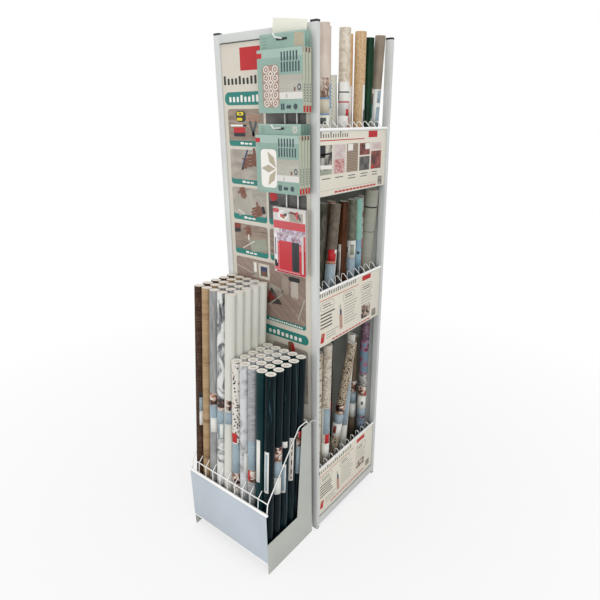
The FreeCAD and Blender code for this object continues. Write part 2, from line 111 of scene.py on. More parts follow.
def coloured(made, colour, relief=None, depth=0.0):
    shader = made.node_tree.nodes["Principled BSDF"]
    plug(made, colour, shader.inputs["Base Color"])
    if relief is not None:
        bump = add_node(made, "Bump", {"Height": relief, "Distance": depth})
        plug(made, bump.outputs[0], shader.inputs["Normal"])
    return made


def powder_coat(name, colour, roughness=0.42):
    """Baked powder paint: one colour, barely clouded, over a very fine orange peel."""
    made = new_material(name, roughness, Specular_IOR_Level=0.45)
    colour = tone(*colour)
    clouds = cloud(made, placed(made), 6, 3)
    pale = tuple(min(1, part * 1.03) for part in colour[:3]) + (1,)
    dull = tuple(part * 0.95 for part in colour[:3]) + (1,)
    peel = cloud(made, placed(made), 700, 2)
    return coloured(made, graded(made, clouds, (0.35, dull), (0.65, pale)), peel, PEEL_DEPTH)


def deselect():
    bpy.ops.object.select_all(action="DESELECT")


def only(piece):
    deselect()
    piece.select_set(True)
    bpy.context.view_layer.objects.active = piece


def dress(material, *names):
    """Gives CAD nodes their finish."""
    for name in names:
        nodes[name].data.materials.clear()
        nodes[name].data.materials.append(material)


def smooth_by_angle(piece, degrees=30):
    only(piece)
    bpy.ops.object.shade_smooth_by_angle(angle=math.radians(degrees))


def softened(name, width, material):
    """A copy of a node whose sharp edges are rounded, as drawn tube and folded sheet have them."""
    only(nodes[name])
    bpy.ops.object.duplicate()
    piece = bpy.context.object
    piece.parent = None
    for key in list(piece.keys()):
        del piece[key]
    piece.name = name + "_coated"
    bpy.ops.object.mode_set(mode="EDIT")
    bpy.ops.mesh.select_all(action="SELECT")
    bpy.ops.mesh.remove_doubles(threshold=0.000002)
    bpy.ops.mesh.dissolve_limited(angle_limit=math.radians(0.5))
    bpy.ops.mesh.normals_make_consistent(inside=False)
    bpy.ops.object.mode_set(mode="OBJECT")
    bevel = piece.modifiers.new("rounded", "BEVEL")
    bevel.width = width
    bevel.segments = 2
    bevel.limit_method = "ANGLE"
    bevel.angle_limit = math.radians(40)
    bpy.ops.object.modifier_apply(modifier=bevel.name)
    piece.data.materials.clear()
    piece.data.materials.append(material)
    smooth_by_angle(piece)
    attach(piece, "root")
    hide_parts(name)


PEEL_DEPTH = 0.00004
TUBE_EDGE = 0.0007
RAIL_EDGE = 0.0006
frame_coat = powder_coat("frame_coat", (206, 208, 206))
for name in ("post_front_left", "post_front_right", "post_rear_left", "post_rear_right"):
    softened(name, TUBE_EDGE, frame_coat)
for name in ("front_top_rail", "base_rails_across", "base_rails_along"):
    softened(name, RAIL_EDGE, frame_coat)

# Post ends: moulded black plastic plugs, a thick cap on top of each tube and a thin foot below.
# The moulding is matt, with a fine spark-eroded grain.
black_plastic = new_material("black_plastic", 0.55)
speck = cloud(black_plastic, placed(black_plastic), 900, 2)
blacks = graded(black_plastic, speck, (0.3, (22, 22, 24)), (0.7, (38, 38, 40)))
GRAIN_DEPTH = 0.00005
coloured(black_plastic, blacks, speck, GRAIN_DEPTH)
PLUG_EDGE = 0.001
for name in ("post_caps", "post_feet"):
    softened(name, PLUG_EDGE, black_plastic)

# Rear panel, left panel and trays: thin sheet steel, folded at the edges and coated like the
# frame. Deep in the stand the white coat is given a duller, greyer colour than the frame's: painted shade of
# the same coat.
SHEET_EDGE = 0.0004
sheet_painted_shade_coat = powder_coat("sheet_painted_shade_coat", (188, 192, 186), 0.5)
for name in ("rear_panel", "left_panel"):
    softened(name, SHEET_EDGE, sheet_painted_shade_coat)
for tier in ("top", "middle", "lower"):
    softened("tray_floor_" + tier, SHEET_EDGE, sheet_painted_shade_coat)
    softened("tray_front_" + tier, SHEET_EDGE, frame_coat)

# Rods and wires: round drawn steel, bent and spot welded, with a brighter and glossier white
# coat that has pooled a little at the bends.
rod_coat = powder_coat("rod_coat", (250, 250, 248), 0.3)
wire_nodes = ["bin_front_rod", "bin_cross_wires", "bin_side_wires", "bin_slot_wires", "bin_hooks"]
wire_nodes += ["rack_wires", "rack_bars", "rack_hooks"]
for tier in ("top", "middle", "lower"):
    wire_nodes += ["tray_rod_" + tier, "tray_dividers_" + tier]
dress(rod_coat, *wire_nodes)

# Bin: four plates of sheet steel riveted into a low open box, and the aluminium rivets are left bare.
# The front plate's cool light grey-blue is painted light on the white coat, and the warmer grey of the sides
# and floor is painted shade.
front_painted_light_coat = powder_coat("bin_front_painted_light_coat", (190, 199, 208))
side_painted_shade_coat = powder_coat("bin_side_painted_shade_coat", (184, 187, 180))
PLATE_EDGE = 0.0005
softened("bin_front_panel", PLATE_EDGE, front_painted_light_coat)
for name in ("bin_floor", "bin_side_left", "bin_side_right"):
    softened(name, PLATE_EDGE, side_painted_shade_coat)
rivet_metal = new_material("rivet_metal", 0.35, Metallic=1)
brushed = cloud(rivet_metal, placed(rivet_metal), 500, 2)
coloured(rivet_metal, graded(rivet_metal, brushed, (0.3, (190, 190, 190)), (0.7, (220, 220, 220))))
dress(rivet_metal, "bin_rivets")

# Printed front: a cream sheet panel with round-cornered pictures, teal bars and a red square in
# flat inks, and a black strip along its top edge that is painted shadow under the top rail. Each
# layer of ink stands a fifth of a millimetre above the one before.


def ink(name, colour, roughness=0.5, mottle=0.05):
    """Flat printing ink with a slight mottle."""
    made = new_material(name, roughness, Specular_IOR_Level=0.35)
    colour = tone(*colour)
    spots = cloud(made, placed(made), 140, 3)
    dull = tuple(part * (1 - mottle) for part in colour[:3]) + (1,)
    pale = tuple(min(1, part * (1 + mottle)) for part in colour[:3]) + (1,)
    return coloured(made, graded(made, spots, (0.3, dull), (0.7, pale)))


cream = ink("cream_ink", (208, 202, 189), mottle=0.02)
teal = ink("teal_ink", (30, 122, 112))
red = ink("red_ink", (184, 32, 38))
black_ink = ink("black_ink", (35, 35, 38))
white_ink = ink("white_ink", (235, 232, 226), mottle=0.02)
yellow = ink("yellow_ink", (222, 200, 30))
tan = ink("tan_ink", (172, 124, 96))
brown_ink = ink("brown_ink", (120, 72, 56), mottle=0.3)
grey_ink = ink("grey_ink", (172, 168, 158))
dark_grey = ink("dark_grey_ink", (78, 84, 86))


def picture(name, dark, light, scale, stretch=(1, 1, 1), turn=(0, 0, 0)):
    """A printed scene without a subject: two tones that drift and streak."""
    made = new_material(name, 0.45)
    waves = cloud(made, placed(made, stretch, turn), scale, 5, 0.6)
    return coloured(made, graded(made, waves, (0.32, dark), (0.68, light)))


wood_scene = picture("wood_scene", (112, 94, 80), (158, 140, 124), 12, (1, 1, 7), (0, 0.35, 0))
grey_scene = picture("grey_scene", (138, 130, 120), (176, 168, 156), 14, (1, 1, 2), (0, 0.8, 0))
dark_scene = picture("dark_scene", (52, 50, 48), (88, 84, 80), 12, (1, 1, 3))

LAYER = 0.0002
INK_FILM = 0.00018
chance = random.Random(4)
prints = []


def put_on(face, material, corners, rounding=0.0, level=1, spin=0.0, sides=0):
    """Lays one printed field on a face of the stand.

    face is ("front", y) or ("side", x); corners are the low and high corner as seen on it, and
    level counts the layers of ink from the face up.
    Without sides the field is a rectangle; 4 sides give a rhombus and more of them a disc.
    """
    kind, plane = face
    low_a, low_z, high_a, high_z = corners
    if sides:
        bpy.ops.mesh.primitive_circle_add(radius=0.5, vertices=sides, fill_type="NGON")
    else:
        bpy.ops.mesh.primitive_plane_add(size=1)
    piece = bpy.context.object
    piece.scale = (high_a - low_a, high_z - low_z, 1)
    bpy.ops.object.transform_apply(location=False, rotation=False, scale=True)
    if rounding:
        bpy.ops.object.mode_set(mode="EDIT")
        bpy.ops.mesh.select_all(action="SELECT")
        bpy.ops.mesh.bevel(offset=rounding, segments=5, affect="VERTICES")
        bpy.ops.object.mode_set(mode="OBJECT")
    middle_a = (low_a + high_a) / 2
    middle_z = (low_z + high_z) / 2
    turn = Matrix.Rotation(math.radians(90), 4, "X") @ Matrix.Rotation(spin, 4, "Z")
    if kind == "front":
        piece.data.transform(Matrix.Translation((middle_a, plane - level * LAYER, middle_z)) @ turn)
    else:
        quarter = Matrix.Rotation(math.radians(90), 4, "Z")
        piece.data.transform(Matrix.Translation((plane + level * LAYER, middle_a, middle_z)) @ quarter @ turn)
    piece.data.materials.append(material)
    prints.append(piece)
    return piece


def lay(face, *fields):
    """Lays fields on a face in turn; each gives what put_on takes after the face."""
    for field in fields:
        put_on(face, *field)


def outline_on(face, material, corners, rounding, line, level=1, sides=0):
    """A printed line round a field, with the middle left open."""
    only(put_on(face, material, corners, rounding, level, 0.0, sides))
    bpy.ops.object.mode_set(mode="EDIT")
    bpy.ops.mesh.select_all(action="SELECT")
    bpy.ops.mesh.inset(thickness=line)
    bpy.ops.mesh.delete(type="FACE")
    bpy.ops.object.mode_set(mode="OBJECT")


def row_on(face, material, left, right, low, heights, share=0.55, level=1):
    """A row of upright bars, each of its own height."""
    pitch = (right - left) / len(heights)
    for place, height in enumerate(heights):
        start = left + place * pitch
        bar = (start, low, start + pitch * share, low + height)
        put_on(face, material, bar, min(pitch * share, height) * 0.25, level)


def bars_on(face, material, left, top, right, count, pitch, height):
    """Thin bars one below the other, each of its own length."""
    for row in range(count):
        end = right - (right - left) * chance.uniform(0.0, 0.3)
        z = top - row * pitch
        put_on(face, material, (left, z - height, end, z))


def finish_print(name, thickness=INK_FILM):
    """Joins the fields laid so far into one printed film and gives it its thickness."""
    deselect()
    for piece in prints:
        piece.select_set(True)
    bpy.context.view_layer.objects.active = prints[0]
    bpy.ops.object.join()
    film = bpy.context.object
    film.name = name
    film.data.name = name
    wall = film.modifiers.new("film", "SOLIDIFY")
    wall.thickness = thickness
    wall.offset = -1
    bpy.ops.object.modifier_apply(modifier=wall.name)
    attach(film, "root")
    prints.clear()


plank_scene = new_material("plank_scene", 0.45)
flat = placed(plank_scene, turn=(math.radians(-90), 0, math.radians(38)))
boards = {"Vector": flat, "Scale": 7, "Mortar Size": 0.006, "Brick Width": 2.2, "Row Height": 0.16}
boards["Color1"] = tone(160, 138, 126)
boards["Color2"] = tone(146, 124, 112)
boards["Mortar"] = tone(112, 92, 82)
boarding = add_node(plank_scene, "TexBrick", boards)
plank_grain = cloud(plank_scene, placed(plank_scene, (1, 1, 4), (0, -0.7, 0)), 14, 4)
shade = graded(plank_scene, plank_grain, (0.3, (0.78, 0.78, 0.78, 1)), (0.7, (1, 1, 1, 1)))
coloured(plank_scene, blend(plank_scene, 1.0, boarding.outputs["Color"], shade, "MULTIPLY"))
skin = ink("hand_ink", (120, 78, 60), mottle=0.25)
vase_ink = ink("vase_ink", (160, 144, 132), mottle=0.1)
pale_vase = ink("pale_vase", (186, 176, 166), mottle=0.08)
red_brown = ink("red_brown_ink", (120, 48, 40), mottle=0.4)
denim = ink("dark_blue_ink", (52, 58, 92))
sheet_scene = picture("sheet_scene", (146, 140, 128), (182, 176, 164), 12)
soft_green = picture("soft_green_scene", (126, 132, 116), (166, 172, 154), 8)

PANEL_EDGE = 0.0003
softened("front_panel", PANEL_EDGE, cream)
FRONT = ("front", -0.0735)
BAR_HEIGHTS = (0.027, 0.019, 0.019, 0.019, 0.025, 0.019, 0.019, 0.024, 0.025, 0.019)


def hand_on(x, z, size, turn, level=4):
    """A simple hand: a palm, four fingers and a thumb as rounded fields.

    Each part is given by its place across and up, its width and its height, in palm widths.
    """
    parts = ((0, 0, 1.0, 0.85), (-0.38, 0.6, 0.22, 0.6), (-0.12, 0.68, 0.22, 0.75))
    parts += ((0.14, 0.66, 0.22, 0.7), (0.39, 0.56, 0.2, 0.55), (0.66, 0.0, 0.5, 0.24))
    for step, (across, up, width, height) in enumerate(parts):
        a = x + size * (across * math.cos(turn) - up * math.sin(turn))
        b = z + size * (across * math.sin(turn) + up * math.cos(turn))
        half_w = width * size / 2
        half_h = height * size / 2
        round_off = min(half_w, half_h) * 0.85
        field = (a - half_w, b - half_h, a + half_w, b + half_h)
        put_on(FRONT, skin, field, round_off, level + step * 0.15, turn)


# The first field, a black strip along the panel's top edge under the top rail, is painted shadow of the rail,
# not ink.
lay(FRONT,
    (black_ink, (-0.1855, 1.778, 0.1855, 1.7805)),
    (red, (-0.1, 1.697, 0.0, 1.763)))
row_on(FRONT, black_ink, -0.179, -0.005, 1.657, BAR_HEIGHTS)
put_on(FRONT, teal, (-0.179, 1.595, 0.02, 1.635), 0.019)
row_on(FRONT, white_ink, -0.158, 0.0, 1.604, [h * 0.85 for h in BAR_HEIGHTS[1:]], 0.55, 2)
TILES = ((wood_scene, 1.484, 1.583, 1.466), (grey_scene, 1.357, 1.455, 1.339))
TILES += ((grey_scene, 1.235, 1.329, 1.215), (wood_scene, 1.108, 1.201, 1.089))
for column, (left, right) in enumerate(((-0.169, -0.006), (0.004, 0.168))):
    for scene_ink, low, high, foot in TILES:
        shown = dark_scene if column and foot > 1.2 else scene_ink
        lay(FRONT,
            (teal, (left, foot, right, high - 0.01), 0.01),
            (shown, (left, low, right, high), 0.01, 2))
        middle = (left + right) / 2
        row_on(FRONT, white_ink, middle - 0.028, middle + 0.03, foot + 0.006,
            (0.0075, 0.0055, 0.0055), 0.8, 2)
lay(FRONT,
    (black_ink, (-0.13, 1.543, -0.086, 1.577), 0.011, 3),
    (yellow, (-0.126, 1.563, -0.095, 1.574), 0.005, 4),
    (yellow, (-0.127, 1.547, -0.101, 1.556), 0.004, 4),
    (dark_grey, (-0.117, 1.566, -0.105, 1.571), 0.002, 5),
    (white_ink, (-0.158, 1.529, -0.092, 1.5345), 0.002, 3),
    (black_ink, (-0.1, 1.5285, -0.084, 1.535), 0.001, 4),
    (red, (-0.144, 1.508, -0.091, 1.526), 0.003, 3),
    (black_ink, (-0.144, 1.497, -0.091, 1.509), 0.002, 4))
for left, turn in ((-0.079, 0.5), (-0.051, -0.5)):
    outline_on(FRONT, tan, (left, 1.543, left + 0.023, 1.563), 0.008, 0.005, 3)
    middle = -0.0535 - 0.012 * turn
    put_on(FRONT, dark_grey, (middle - 0.005, 1.497, middle + 0.005, 1.548), 0.003, 4, turn * 0.7)
hand_on(-0.05, 1.424, 0.042, 1.7)
hand_on(-0.092, 1.416, 0.024, 2.6, 5.5)
lay(FRONT,
    (denim, (-0.1, 1.398, -0.094, 1.458), 0.002, 7, -0.45),
    (black_ink, (-0.115, 1.388, -0.106, 1.4), 0.003, 7, -0.45),
    (sheet_scene, (-0.152, 1.24, -0.062, 1.312), 0.004, 3, 0.3),
    (cream, (-0.146, 1.24, -0.11, 1.246), 0.001, 4, -0.4))
hand_on(-0.118, 1.318, 0.028, 3.5)
hand_on(-0.042, 1.254, 0.036, 1.9)
lay(FRONT,
    (black_ink, (-0.028, 1.246, -0.014, 1.272), 0.004, 6, 0.3),
    (soft_green, (-0.092, 1.11, -0.01, 1.152), 0.006, 3, 0.2),
    (cream, (-0.134, 1.126, -0.066, 1.13), 0, 4, 0.5))
hand_on(-0.098, 1.186, 0.026, 3.2)
lay(FRONT,
    (white_ink, (-0.1, 1.144, -0.095, 1.166), 0.002, 6),
    (red_brown, (-0.168, 1.18, -0.136, 1.2), 0.004, 3),
    (black_ink, (-0.168, 1.168, -0.138, 1.182), 0.003, 4, 0.2),
    (red, (0.012, 1.296, 0.042, 1.326), 0.008, 3, 0.5),
    (black_ink, (0.01, 1.283, 0.045, 1.296), 0.003, 4, 0.15))

lay(FRONT,
    (teal, (-0.168, 0.857, 0.161, 0.89), 0.01),
    (plank_scene, (-0.168, 0.872, 0.161, 1.078), 0.01, 2),
    (grey_ink, (-0.165, 1.03, -0.075, 1.034), 0, 3, -0.25),
    (grey_scene, (-0.085, 1.01, -0.06, 1.07), 0.004, 3),
    (white_ink, (-0.078, 1.03, -0.066, 1.066), 0.004, 4))
outline_on(FRONT, cream, (-0.056, 1.011, -0.003, 1.067), 0.002, 0.01, 4)
lay(FRONT,
    (dark_grey, (-0.047, 1.019, -0.012, 1.058), 0, 3),
    (denim, (-0.045, 1.04, -0.014, 1.056), 0.003, 4),
    (skin, (-0.038, 1.022, -0.02, 1.04), 0.006, 4),
    (dark_scene, (-0.04, 0.905, 0.058, 0.988), 0, 3, 0.12, 3),
    (red_brown, (-0.03, 0.925, 0.03, 0.975), 0, 4, 0.4, 3),
    (grey_scene, (-0.01, 0.972, 0.06, 0.996), 0.01, 3, -0.25),
    (vase_ink, (0.054, 0.975, 0.084, 1.04), 0.01, 3),
    (pale_vase, (0.096, 0.966, 0.128, 1.03), 0.01, 4),
    (vase_ink, (0.102, 0.962, 0.122, 0.972), 0.004, 5),
    (black_ink, (0.086, 1.028, 0.136, 1.044), 0.007, 5))
lay(FRONT,
    (grey_ink, (0.138, 0.885, 0.143, 0.975), 0.002, 4, -0.35),
    (grey_ink, (0.02, 0.905, 0.024, 0.985), 0.002, 4, -0.9))
row_on(FRONT, white_ink, -0.012, 0.148, 0.8605, (0.0075, 0.0055, 0.0065, 0.0055) * 4, 0.7, 2)
put_on(FRONT, teal, (-0.179, 0.801, 0.172, 0.838), 0.018)
row_on(FRONT, white_ink, -0.016, 0.148, 0.809, (0.015, 0.015, 0.02) + (0.015,) * 5, 0.6, 2)
lay(FRONT,
    (grey_scene, (0.004, 0.56, 0.168, 0.779), 0.012),
    (skin, (0.078, 0.752, 0.106, 0.798), 0.01, 2, 0.15),
    (red, (0.096, 0.752, 0.108, 0.79), 0.004, 3, 0.15),
    (black_ink, (0.084, 0.728, 0.1, 0.758), 0.005, 3, 0.1))
finish_print("front_print_and_rail_shadow")

# Lower edge of the bin's front: the sheet is folded under. A brighter strip in the rod coat along
# the fold is a painted highlight, where the rounded fold catches the light.
panel_low, panel_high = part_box("bin_front_panel")
hem = (panel_low[0] + 0.001, panel_low[2] + 0.0006, panel_high[0] - 0.001, panel_low[2] + 0.0062)
put_on(("front", panel_low[1]), rod_coat, hem, 0.0008)
finish_print("bin_front_hem_highlight")

# Header card: a plain cream board, die-cut and hung behind the top hook, where it has slipped a
# little askew.
CARD_EDGE = 0.0002
card_stock = ink("card_stock", (226, 226, 212), mottle=0.015)
softened("header_card", CARD_EDGE, card_stock)

# Tray cards: cream boards over the front of each tray, with upright bars, a red rule and rows
# of thin bars. The top one carries five small pictures, the others round-cornered outlines.
finger = ink("finger_ink", (182, 146, 130), mottle=0.15)
card_cream = ink("card_cream", (225, 219, 204), mottle=0.02)
red_rule = ink("red_rule", (184, 52, 52))
code_ink = new_material("code_ink", 0.5)
code_cells = add_node(code_ink, "TexVoronoi",
    {"Vector": placed(code_ink), "Scale": 420}, distance="CHEBYCHEV")
cell_tones = ((0.4, (92, 90, 84)), (0.6, (188, 180, 168)))
coloured(code_ink, graded(code_ink, code_cells.outputs["Color"], *cell_tones, way="CONSTANT"))
pink_scene = picture("pink_scene", (198, 176, 172), (216, 206, 202), 30, (1, 1, 1.5))
red_scene = picture("red_scene", (54, 22, 22), (164, 84, 72), 50)
slat_scene = new_material("slat_scene", 0.45)
slats = add_node(slat_scene, "TexWave",
    {"Vector": placed(slat_scene), "Scale": 60, "Distortion": 0.6}, bands_direction="Z")
coloured(slat_scene, graded(slat_scene, slats.outputs["Fac"], (0.2, (116, 94, 78)), (0.8, (168, 150, 132))))
window_scene = picture("window_scene", (40, 38, 34), (204, 200, 188), 26, (1, 1.6, 1))
leafy_red = picture("leafy_red_scene", (168, 60, 62), (214, 190, 184), 110)


def mixed_picture(name, roughness, stops, scale, stretch, detail, distortion):
    """A printed scene of several tones."""
    made = new_material(name, roughness)
    patches = cloud(made, placed(made, stretch), scale, detail, distortion)
    return coloured(made, graded(made, patches, *stops))


mixture = ((0.4, (26, 22, 22)), (0.48, (110, 72, 52)), (0.56, (198, 186, 172)))
mixed_scene = mixed_picture("mixed_scene", 0.45, mixture, 60, (1, 1, 1), 3, 0.8)
cloudy_scene = picture("cloudy_scene", (14, 14, 16), (118, 114, 112), 44)
SIDE = ("side", 0.2075)
for tier in ("top", "middle", "lower"):
    softened("tray_card_" + tier, CARD_EDGE, card_cream)


def tall_bars(low, left, right, count):
    """Upright bars, every fourth one taller."""
    heights = [0.012 if bar % 4 else 0.018 for bar in range(count)]
    row_on(SIDE, dark_grey, left, right, low, heights, 0.4)


def broken_rule(left, low, height):
    """The red rule of twelve dashes along the lower edge of a card."""
    for dash in range(12):
        start = left + dash * DASH_PITCH
        put_on(SIDE, red_rule, (start, low, start + DASH_LENGTH, low + height))


DASH_PITCH = 0.0216
DASH_LENGTH = 0.0175
tall_bars(1.498, -0.055, 0.1, 12)
lay(SIDE,
    (red_rule, (-0.056, 1.4887, 0.193, 1.4917)),
    (red, (0.219, 1.493, 0.277, 1.5145)),
    (window_scene, (-0.057, 1.388, 0.006, 1.477)),
    (pink_scene, (0.013, 1.387, 0.08, 1.477)),
    (slat_scene, (0.088, 1.387, 0.155, 1.477)),
    (white_ink, (0.094, 1.455, 0.124, 1.476), 0, 2),
    (red_scene, (0.165, 1.437, 0.23, 1.476)),
    (cloudy_scene, (0.165, 1.386, 0.23, 1.432)),
    (pink_scene, (0.24, 1.452, 0.308, 1.476)),
    (red_scene, (0.24, 1.386, 0.308, 1.447)),
    (leafy_red, (0.02, 1.388, 0.074, 1.432), 0.004, 2),
    (black_ink, (-0.0565, 1.44, -0.03, 1.4765), 0.002, 2),
    (soft_green, (-0.0565, 1.3885, 0.0055, 1.402), 0, 2),
    (white_ink, (0.2, 1.455, 0.229, 1.475), 0.004, 2),
    (red, (0.242, 1.387, 0.262, 1.396), 0.003, 2),
    (black_ink, (-0.055, 1.447, 0.004, 1.453), 0, 2, 0.06),
    (white_ink, (-0.055, 1.405, 0.005, 1.417), 0, 2, -0.05))
for middle in (-0.024, 0.046, 0.121, 0.197, 0.272):
    bars_on(SIDE, dark_grey, middle - 0.022, 1.377, middle + 0.024, 1 if middle < 0.1 else 2, 0.009, 0.0028)
lay(SIDE,
    (code_ink, (0.292, 1.327, 0.32, 1.357)),
    (grey_ink, (-0.052, 1.3385, 0.28, 1.3395)))
broken_rule(0.022, 1.3265, 0.006)
finish_print("card_print_top")

for tier, rise, picture_low in (("middle", 0.0, 0.82), ("lower", -0.735, 0.842)):
    tall_bars(0.983 + rise, -0.058, 0.172, 17)
    lay(SIDE,
        (red_rule, (-0.056, 0.9692 + rise, 0.184, 0.9716 + rise)),
        (red, (0.21, 0.976 + rise, 0.27, 0.9945 + rise)))
    for left, right, top in ((-0.052, 0.029, 0.962), (0.083, 0.158, 0.962), (0.204, 0.282, 0.96)):
        outline_on(SIDE, dark_grey, (left, top - 0.032 + rise, right, top + rise), 0.014, 0.0012)
        bars_on(SIDE, dark_grey, left + 0.012, top - 0.009 + rise, right - 0.01, 2, 0.009, 0.003)
    bars_on(SIDE, black_ink, -0.052, 0.922 + rise, 0.038, 5, 0.0128, 0.0046)
    bars_on(SIDE, grey_ink, 0.092, 0.922 + rise, 0.182, 8, 0.0112, 0.0036)
    bars_on(SIDE, grey_ink, 0.206, 0.922 + rise, 0.292, 4, 0.0112, 0.0036)
    bars_on(SIDE, grey_ink, -0.018, 0.846 + rise, 0.06, 3, 0.0105, 0.0034)
    lay(SIDE,
        (finger, (0.063, 0.828 + rise, 0.081, 0.888 + rise), 0.006, 1, 0.08),
        (denim, (0.064, 0.884 + rise, 0.075, 0.906 + rise), 0.003, 2, 0.08),
        (grey_ink, (0.062, 0.904 + rise, 0.07, 0.926 + rise), 0.002, 1, 0.08),
        (mixed_scene, (0.209, picture_low + rise, 0.272, 0.876 + rise)),
        (code_ink, (0.287, 0.808 + rise, 0.317, 0.838 + rise)),
        (white_ink, (-0.058, 0.818 + rise, -0.034, 0.85 + rise), 0.003, 1, 0.15),
        (red, (-0.05, 0.812 + rise, -0.03, 0.848 + rise), 0.003, 2, -0.2),
        (tan, (-0.05, 0.834 + rise, -0.036, 0.846 + rise), 0.002, 3, -0.2))
    broken_rule(0.018, 0.8035 + rise, 0.005)
    finish_print("card_print_" + tier)

# Tile packs: flat cartons of thin stick-on tiles in mint card, each with a hanging tab. The
# front one of each stack has a window in it that shows a tile, and a small room picture.
mint = ink("mint_ink", (138, 166, 154), 0.38, 0.03)
mint_pale = ink("mint_pale_ink", (158, 182, 172), 0.38, 0.03)
side_green = ink("side_green_ink", (182, 186, 166), 0.4, 0.05)
# This dark green is painted shade in the narrow gaps between the packs, and also the ink of the short marks
# on the tabs.
gap_shade_and_mark_green = ink("gap_shade_and_mark_green_ink", (84, 98, 84))
beige = ink("beige_ink", (176, 166, 144))
slate_ink = ink("slate_ink", (58, 74, 80))
rose_ground = ink("rose_ground", (164, 138, 124))
wall_scene = new_material("wall_scene", 0.4)
wall = {"Vector": placed(wall_scene, turn=(math.radians(-90), 0, 0)), "Scale": 60, "Mortar Size": 0.02}
wall["Color1"] = tone(160, 158, 146)
wall["Color2"] = tone(172, 170, 158)
wall["Mortar"] = tone(190, 188, 178)
coloured(wall_scene, add_node(wall_scene, "TexBrick", wall).outputs["Color"])
CARTON_EDGE = 0.0006
for name in ("tile_packs_upper", "tile_packs_lower"):
    softened(name, CARTON_EDGE, mint)
PACK_PITCH = 0.0135
LAST_BACK = -0.0872
PACK_H = 0.172
PACK_W = 0.174


def window_tile(face, left, low, lattice):
    """The tile behind the window: rings between crossing lines, or rhombi set like a star."""
    window = (left + 0.0195, low + 0.0155, left + 0.0845, low + 0.1305)
    put_on(face, rose_ground if lattice else white_ink, window, 0.0135, 0.5)
    if not lattice:
        for degrees in (180, 125, 235):
            turn = math.radians(degrees)
            x = left + 0.0835 + 0.033 * math.cos(turn)
            z = low + 0.073 + 0.033 * math.sin(turn)
            put_on(face, beige, (x - 0.029, z - 0.012, x + 0.029, z + 0.012), 0, 1.5, turn, 4)
        return
    for row in range(5):
        z = low + 0.027 + row * 0.023
        for x in (left + 0.0345, left + 0.0695):
            outer = (x - 0.0115, z - 0.0108, x + 0.0115, z + 0.0108)
            outline_on(face, white_ink, outer, 0, 0.0024, 1.5, sides=6)
            put_on(face, white_ink, (x - 0.0028, z - 0.0028, x + 0.0028, z + 0.0028), 0, 1.5, 0, 4)
        if row < 4:
            middle = left + 0.052
            diamond = (middle - 0.0105, z + 0.0025, middle + 0.0105, z + 0.0205)
            outline_on(face, white_ink, diamond, 0, 0.0024, 1.5, sides=4)
            put_on(face, white_ink, (middle - 0.0012, z - 0.0025, middle + 0.0012, z + 0.0025), 0, 1.5)
            for side in (-1, 1):
                x = middle + side * 0.0165
                link = (x - 0.0009, z + 0.0055, x + 0.0009, z + 0.0175)
                put_on(face, white_ink, link, 0, 1.5, side * 0.75)


